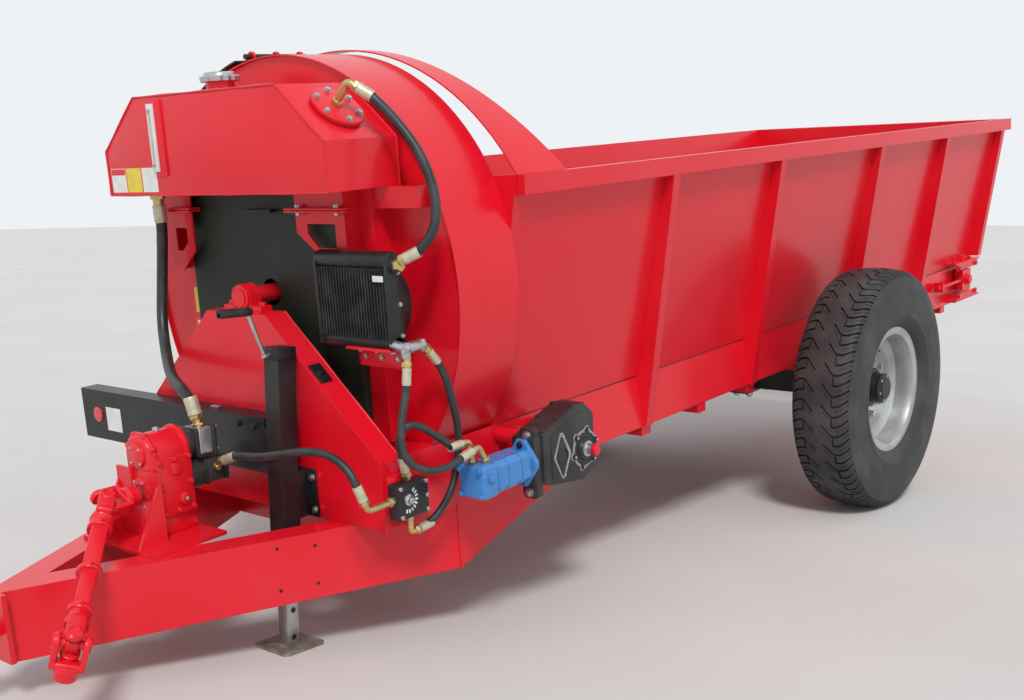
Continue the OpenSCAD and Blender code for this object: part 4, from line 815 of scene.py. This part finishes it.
pumps = bmesh.new()
gather(pumps, rod((-3.1348, -.010, .375), (-3.105, -.010, .375), 0.046, 36, 0.003), CAST)
gather(pumps, rod((-3.1348, 0, .270), (-3.075, 0, .270), 0.052, 36, 0.004), CAST)
for low, high, edge, segments, metal in (((-3.105, -.056, .330), (-3.092, .036, .420), 0.003, 2, CAST),
        ((-3.092, -.053, .333), (-3.040, .033, .417), 0.006, 3, ALLOY),
        ((-3.040, -.056, .330), (-3.025, .036, .420), 0.003, 2, CAST),
        ((-3.075, -.045, .228), (-3.062, .045, .312), 0.003, 2, CAST),
        ((-3.062, -.042, .231), (-3.000, .042, .309), 0.006, 3, CAST),
        ((-3.000, -.045, .228), (-2.985, .045, .312), 0.003, 2, CAST)):
    gather(pumps, bar(low, high, edge, segments), metal)
for x, sides_y, heights in ((-3.025, (-.048, .028), (.338, .412)), (-2.985, (-.037, .037), (.236, .304))):
    for y in sides_y:
        for z in heights:
            bolt(pumps, (x, y, z), REARWARD, 0.011, ZINC, False)
elbow(pumps, hose_ends["pump", "start"], 0.020, (-3.030, -.041, .275), 0.012)
elbow(pumps, hose_ends["suction", "stop"], 0.022, (-3.065, -.018, .419), 0.017, 0.06)
hand_over(pumps, "gear_pumps_dressed", hides=["gear_pumps"])

# Parking jack: a square black post with a geared cap, and a galvanised leg that a crank winds out.
# Post and crank are bolted to the stand; the drilled leg ends in a worn foot plate.
WORN = finish("worn_foot", (0.20, 0.16, 0.12), (0.34, 0.32, 0.29), 0.6, metal=0.6, scale=25, grain=160,
    bump=0.0012)
jack_x, jack_y = -2.018, -.268
outer, inner = .034, .029
post = bmesh.new()
for low_x, low_y, high_x, high_y in ((-outer, -outer, outer, -inner), (-outer, inner, outer, outer),
        (-outer, -inner, -inner, inner), (inner, -inner, outer, inner)):
    side = bar((jack_x + low_x, jack_y + low_y, .150), (jack_x + high_x, jack_y + high_y, .936))
    gather(post, side, BLACK)
gather(post, bar((jack_x - .038, jack_y - .038, .935), (jack_x + .038, jack_y + .038, .975), 0.004), BLACK)
for k in range(5):
    y = jack_y - .034 + .015 * k
    gather(post, bar((jack_x - .0395, y, .940), (jack_x + .0395, y + .006, .968), 0.001), BLACK)
arm_z, grip_z = .950, 1.091
for x, z, end_x, end_z, crank_r, sides, edge, colour in (
        (-.038, arm_z, -.064, arm_z, 0.008, 18, 0.001, ZINC),
        (-.058, arm_z, -.118, grip_z, 0.0065, 18, 0.001, ZINC),
        (-.104, grip_z, -.223, grip_z, 0.014, 24, 0.004, RUBBER),
        (-.223, grip_z, -.218, grip_z, 0.0142, 24, 0, RUBBER)):
    crank = rod((jack_x + x, jack_y, z), (jack_x + end_x, jack_y, end_z), crank_r, sides, edge)
    gather(post, crank, colour)
bracket = bmesh.new()
gather(bracket, bar((-2.868, -.330, .104), (-2.8602, -.226, .264), 0.001), BLACK)
gather(bracket, bar((-2.965, -.298, .110), (-2.866, -.238, .260), 0.002), BLACK)
for z in (.130, .238):
    bolt(bracket, (-2.868, -.318, z), AHEAD, 0.018, ZINC)
bmesh.ops.transform(bracket, matrix=STANCE, verts=bracket.verts)
gather(post, bracket)
hand_over(post, "jack_post_dressed", stands=False, hides=["jack_post"])

leg = bmesh.new()
gather(leg, bar((jack_x - .024, jack_y - .024, .008), (jack_x + .024, jack_y + .024, .428), 0.004), ZINC)
foot, cut = .085, .070
foot_shape = [(-foot, -cut), (-cut, -foot), (cut, -foot), (foot, -cut), (foot, cut), (cut, foot),
    (-cut, foot), (-foot, cut)]
gather(leg, plate([(jack_x + x, jack_y + y) for x, y in foot_shape], 0.0, .008, "z", edge=0.0015), WORN)
# The leg's two holes are thin black discs flush on its face: painted shade standing in for the drilled holes.
hole = [(-.0005, 0), (-.0005, .009), (.0006, .0095), (.0006, .008), (.0001, .0075), (.0001, 0)]
for z in (.032, .122):
    gather(leg, turned(hole, 20, (jack_x, jack_y - .0240, z), LEFT), BLACK)
hand_over(leg, "jack_leg_dressed", "jack_leg", False, ["jack_leg"])

# Small fixings, plates and welds on the front: cut and welded sheet steel, sprayed after welding.
# Bolt heads, blank plates, a reflector, latches and weld beads sit on the faces that they hold or mark; black
# discs and thin black lines are painted shade for drilled holes and for the gap at the side walls' seam.
REFLECTOR = finish("reflector_red", (0.70, 0.02, 0.02), (0.55, 0.01, 0.01), 0.12, coat=0.8, scale=60)
trim = bmesh.new()
for y in (.090, .225):
    gather(trim, bar((-2.905, y, .4300), (-2.885, y + .040, .4360), 0.001), ZINC)
lens = [(0, 0), (0, .028), (.004, .028), (.005, .026), (.007, .024), (.008, 0)]
gather(trim, turned(lens, 32, (-2.930, .790, .338), AHEAD), REFLECTOR)
gather(trim, bar((-2.9308, .645, .284), (-2.9300, .738, .372)), WHITE)
for y in (-.130, -.050):
    bolt(trim, (-2.930, y, .400), AHEAD, 0.016, BLACK)
for y in (-.468, -.448):
    gather(trim, bar((-2.6728, y, .700), (-2.6719, y + .014, .760)), WHITE)
for side in (-1, 1):
    for line, bead_r in (([(-2.7745, .630, .110), (-2.7745, .630, .320), (-2.7745, .150, .750)], 0.004),
            ([(-2.543, .6365, -.112), (-2.543, .6365, .101)], 0.005),
            ([(-2.860, .560, .1035), (-2.700, .620, .1035)], 0.004)):
        weld_bead(trim, [(x, side * y, z) for x, y, z in line], bead_r)
# Four black discs, flush on the drawbar's outer face, are painted shade standing in for its drilled holes.
beam_rear, beam_nose = Vector((-2.543, -.636, 0)), Vector((-3.790, -.026, 0))
beam_run = beam_nose - beam_rear
beam_out = Vector((-beam_run.y, beam_run.x, 0)).normalized()
for x, z in ((-3.081, .072), (-2.974, .060), (-3.082, -.065), (-2.975, -.064)):
    spot = beam_rear + beam_run * ((x - beam_rear.x) / beam_run.x) + Vector((0, 0, z))
    gather(trim, rod(spot - beam_out * .001, spot + beam_out * .0005, 0.0058, 20), BLACK)
collar = [(0, .0305), (0, .040), (.006, .042), (.008, .040), (.008, .0305)]
gather(trim, turned(collar, 40, (-2.828, 0, drum_z), AHEAD, closed=True), RED)
for dy, dz in on_circle(4, .0365, math.tau / 8):
    bolt(trim, (-2.835, dy, drum_z + dz), AHEAD, 0.008, RED, False)
for y in (-.078, .078):
    bolt(trim, (-2.805, y, .770), UP, 0.020, RED)
for low, high, bolts in ((-.470, -.190, (-.415, -.235)), (.306, .450, ())):
    for z in (1.068, 1.076):
        gather(trim, bar((-2.774, low, z), (-2.726, high, z + .0065), 0.0015), RED)
    for y in bolts:
        bolt(trim, (-2.752, y, 1.0825), UP, 0.016, ZINC)
        bolt(trim, (-2.752, y, 1.068), DOWN, 0.016, ZINC)
clip = bar((-.030, -.045, 0), (.018, .030, .006), 0.001)
clip_lie = Matrix.Translation((-2.820, -.347, .576)) @ Matrix.Rotation(math.radians(42.1), 4, "X")
bmesh.ops.transform(clip, matrix=clip_lie, verts=clip.verts)
gather(trim, clip, BLACK)
bolt(trim, (-2.828, -.356, .5745), (0, -.67, .74), 0.016, BLACK)
# Thin black rods run along both side walls' seam at z .317, between the ribs. They are painted shade: the dark
# gap under the upper panel's edge.
for side in (-1, 1):
    for start, end in ((-2.30, -1.465), (-1.40, -.638), (-.580, .360), (.418, 1.188), (1.246, 2.016)):
        gather(trim, rod((start, side * .6166, .317), (end, side * .6166, .317), 0.0018, 6), BLACK)
gather(trim, bar((-2.6729, .432, .700), (-2.6719, .472, .790), 0.0003, 1), YELLOW)
gather(trim, bar((-2.6729, .432, .600), (-2.6719, .472, .670), 0.0003, 1), WHITE)
hand_over(trim, "front_trim")

# Chain tensioners: red angles on the side plates' rear ends, in which a block with the shaft's end slides.
# A long screw in a lug ahead of each pulls the block; bolts hold the angles. All of it is sprayed red.
pull = bmesh.new()
end_cap = [(0, 0), (0, .034), (.004, .034), (.005, .028), (.005, 0)]
for side in (-1, 1):
    for x in (1.735, 1.990):
        for z in (.322, .158):
            bolt(pull, (x, side * .688, z), (0, side, 0), 0.020, RED)
    for x in (1.735, 1.860, 1.985):
        bolt(pull, (x, side * .655, .3522), UP, 0.018, RED)
    gather(pull, rod((1.880, side * .680, .240), (1.880, side * .704, .240), 0.027, 28, 0.002), RED)
    gather(pull, turned(end_cap, 28, (1.880, side * .681, .240), (0, side, 0)), RED)
    screw_y = side * .666
    for start, end, nut_r, sides, edge in ((1.499, 1.482, 0.017, 6, 0.001), (1.521, 1.536, 0.017, 6, 0.001),
            (1.484, 1.470, 0.013, 20, 0.003)):
        gather(pull, rod((start, screw_y, .240), (end, screw_y, .240), nut_r, sides, edge), RED)
hand_over(pull, "tensioner_fixings")

# Axle fixings: long clamp bolts that hold the square axle beam to its pads, two on each side of the beam.
# Their nuts sit under the clamp plates.
clamps = bmesh.new()
for y in (-.335, -.265, .265, .335):
    for x in (-.085, .085):
        gather(clamps, rod((x, y, -.086), (x, y, .052), 0.010, 16), ZINC)
        gather(clamps, rod((x, y, -.0642), (x, y, -.080), 0.017, 6, 0.001), ZINC)
hand_over(clamps, "axle_clamp_bolts")

# Drive shaft: two cardan joints of forged yokes on crosses, joined by a square telescopic tube, all red.
# Each yoke has rounded eyes with raised bearing caps; collars lock the tube, and its low end hangs free.
def yoke(whole, place, hub_length):
    """Forged yoke with its pin along y and its hub toward x."""
    part = bmesh.new()
    eye = [(.026 * math.cos(math.radians(a)), .026 * math.sin(math.radians(a))) for a in range(90, 271, 15)]
    cheek = eye + [(.066, -.023), (.066, .023)]
    for start in (-.0475, .0305):
        gather(part, plate(cheek, start, .017, "y", edge=0.004, segments=3), RED)
    gather(part, bar((.050, -.0475, -.024), (.074, .0475, .024), 0.009, 3), RED)
    hub_end = .058 + hub_length
    hub = [(.058, 0), (.058, .033), (.076, .036), (.082, .032), (hub_end - .005, .032), (hub_end, .028),
        (hub_end, 0)]
    gather(part, turned(hub, 36, (0, 0, 0), (1, 0, 0)), RED)
    bearing = [(-.002, 0), (-.002, .022), (.002, .022), (.004, .019), (.004, .015), (.001, .014), (.001, 0)]
    for side in (-1, 1):
        gather(part, turned(bearing, 28, (0, side * .0475, 0), (0, side, 0)), RED)
    bmesh.ops.transform(part, matrix=place, verts=part.verts)
    gather(whole, part)


def cross(whole, place):
    """Cross of a cardan joint with a grease nipple."""
    part = bmesh.new()
    for arm in (Vector((0, .046, 0)), Vector((0, 0, .046))):
        gather(part, rod(-arm, arm, 0.0125, 24), RED)
    gather(part, bar((-.018, -.018, -.018), (.018, .018, .018), 0.006, 3), RED)
    gather(part, rod((-.017, 0, 0), (-.026, 0, 0), 0.004, 10), RED)
    bmesh.ops.transform(part, matrix=place, verts=part.verts)
    gather(whole, part)


top_cross = Matrix.Translation((-3.415, 0, .250)) @ Matrix.Rotation(math.radians(30.4), 4, "X")
run_down = top_cross @ Matrix.Rotation(math.radians(180 + 49.6), 4, "Z")
low_cross = run_down @ Matrix.Translation((.571, 0, 0))
quarter = Matrix.Rotation(math.pi / 2, 4, "X")
input_yoke = bmesh.new()
yoke(input_yoke, top_cross, .054)
cross(input_yoke, top_cross)
hand_over(input_yoke, "input_yoke", hides=["pto_stub_yoke"])
shaft = bmesh.new()
yoke(shaft, run_down @ quarter, .060)
yoke(shaft, low_cross @ Matrix.Rotation(math.pi, 4, "Z") @ quarter, .060)
cross(shaft, low_cross)
yoke(shaft, low_cross @ Matrix.Rotation(math.radians(66), 4, "Y"), .046)
tube = bmesh.new()
for start, end, half in ((.108, .300, .024), (.300, .463, .021)):
    gather(tube, bar((start, -half, -half), (end, half, half), 0.004, 3), RED)
lock = [(0, .018), (0, .035), (.003, .037), (.015, .037), (.018, .035), (.018, .018)]
for at in (.104, .290, .447):
    gather(tube, turned(lock, 32, (at, 0, 0), (1, 0, 0), closed=True), RED)
    gather(tube, rod((at + .009, 0, .034), (at + .009, 0, .043), 0.005, 12, 0.001), RED)
bmesh.ops.transform(tube, matrix=run_down, verts=tube.verts)
gather(shaft, tube)
hand_over(shaft, "drive_shaft_dressed", "drive_shaft", hides=["pto_shaft"])

# Floor and light: a plain pale floor under soft, even light from a broad sun and a pale sky.
# The floor is staging and isn't part of the object.
ground = bmesh.new()
bmesh.ops.create_grid(ground, x_segments=2, y_segments=2, size=60)
floor_mesh = bpy.data.meshes.new("floor")
ground.to_mesh(floor_mesh)
ground.free()
floor = bpy.data.objects.new("floor", floor_mesh)
bpy.context.scene.collection.objects.link(floor)
floor_mesh.materials.append(finish("pale_floor", (0.62, 0.61, 0.59), (0.66, 0.65, 0.63), 0.8, scale=0.6,
    grain=20))
world = bpy.data.worlds.new("sky")
bpy.context.scene.world = world
world.use_nodes = True
sky, sky_links = world.node_tree.nodes, world.node_tree.links
sky["Background"].inputs["Color"].default_value = (0.93, 0.96, 1.0, 1)
sky["Background"].inputs["Strength"].default_value = 0.66
seen = sky.new("ShaderNodeBackground")
seen.inputs["Color"].default_value = (0.90, 0.93, 0.96, 1)
seen.inputs["Strength"].default_value = 0.95
rays = sky.new("ShaderNodeLightPath")
either = sky.new("ShaderNodeMath")
either.operation = "MAXIMUM"
sky_mix = sky.new("ShaderNodeMixShader")
sky_links.new(rays.outputs["Is Camera Ray"], either.inputs[0])
sky_links.new(rays.outputs["Is Glossy Ray"], either.inputs[1])
sky_links.new(either.outputs["Value"], sky_mix.inputs["Fac"])
sky_links.new(sky["Background"].outputs["Background"], sky_mix.inputs[1])
sky_links.new(seen.outputs["Background"], sky_mix.inputs[2])
sky_links.new(sky_mix.outputs["Shader"], sky["World Output"].inputs["Surface"])
sun = bpy.data.objects.new("sun", bpy.data.lights.new("sun", "SUN"))
bpy.context.scene.collection.objects.link(sun)
sun.data.energy = 2.0
sun.data.angle = math.radians(12)
sun.rotation_euler = (math.radians(38), math.radians(-22), math.radians(-20))
bpy.context.scene.view_settings.view_transform = "Standard"
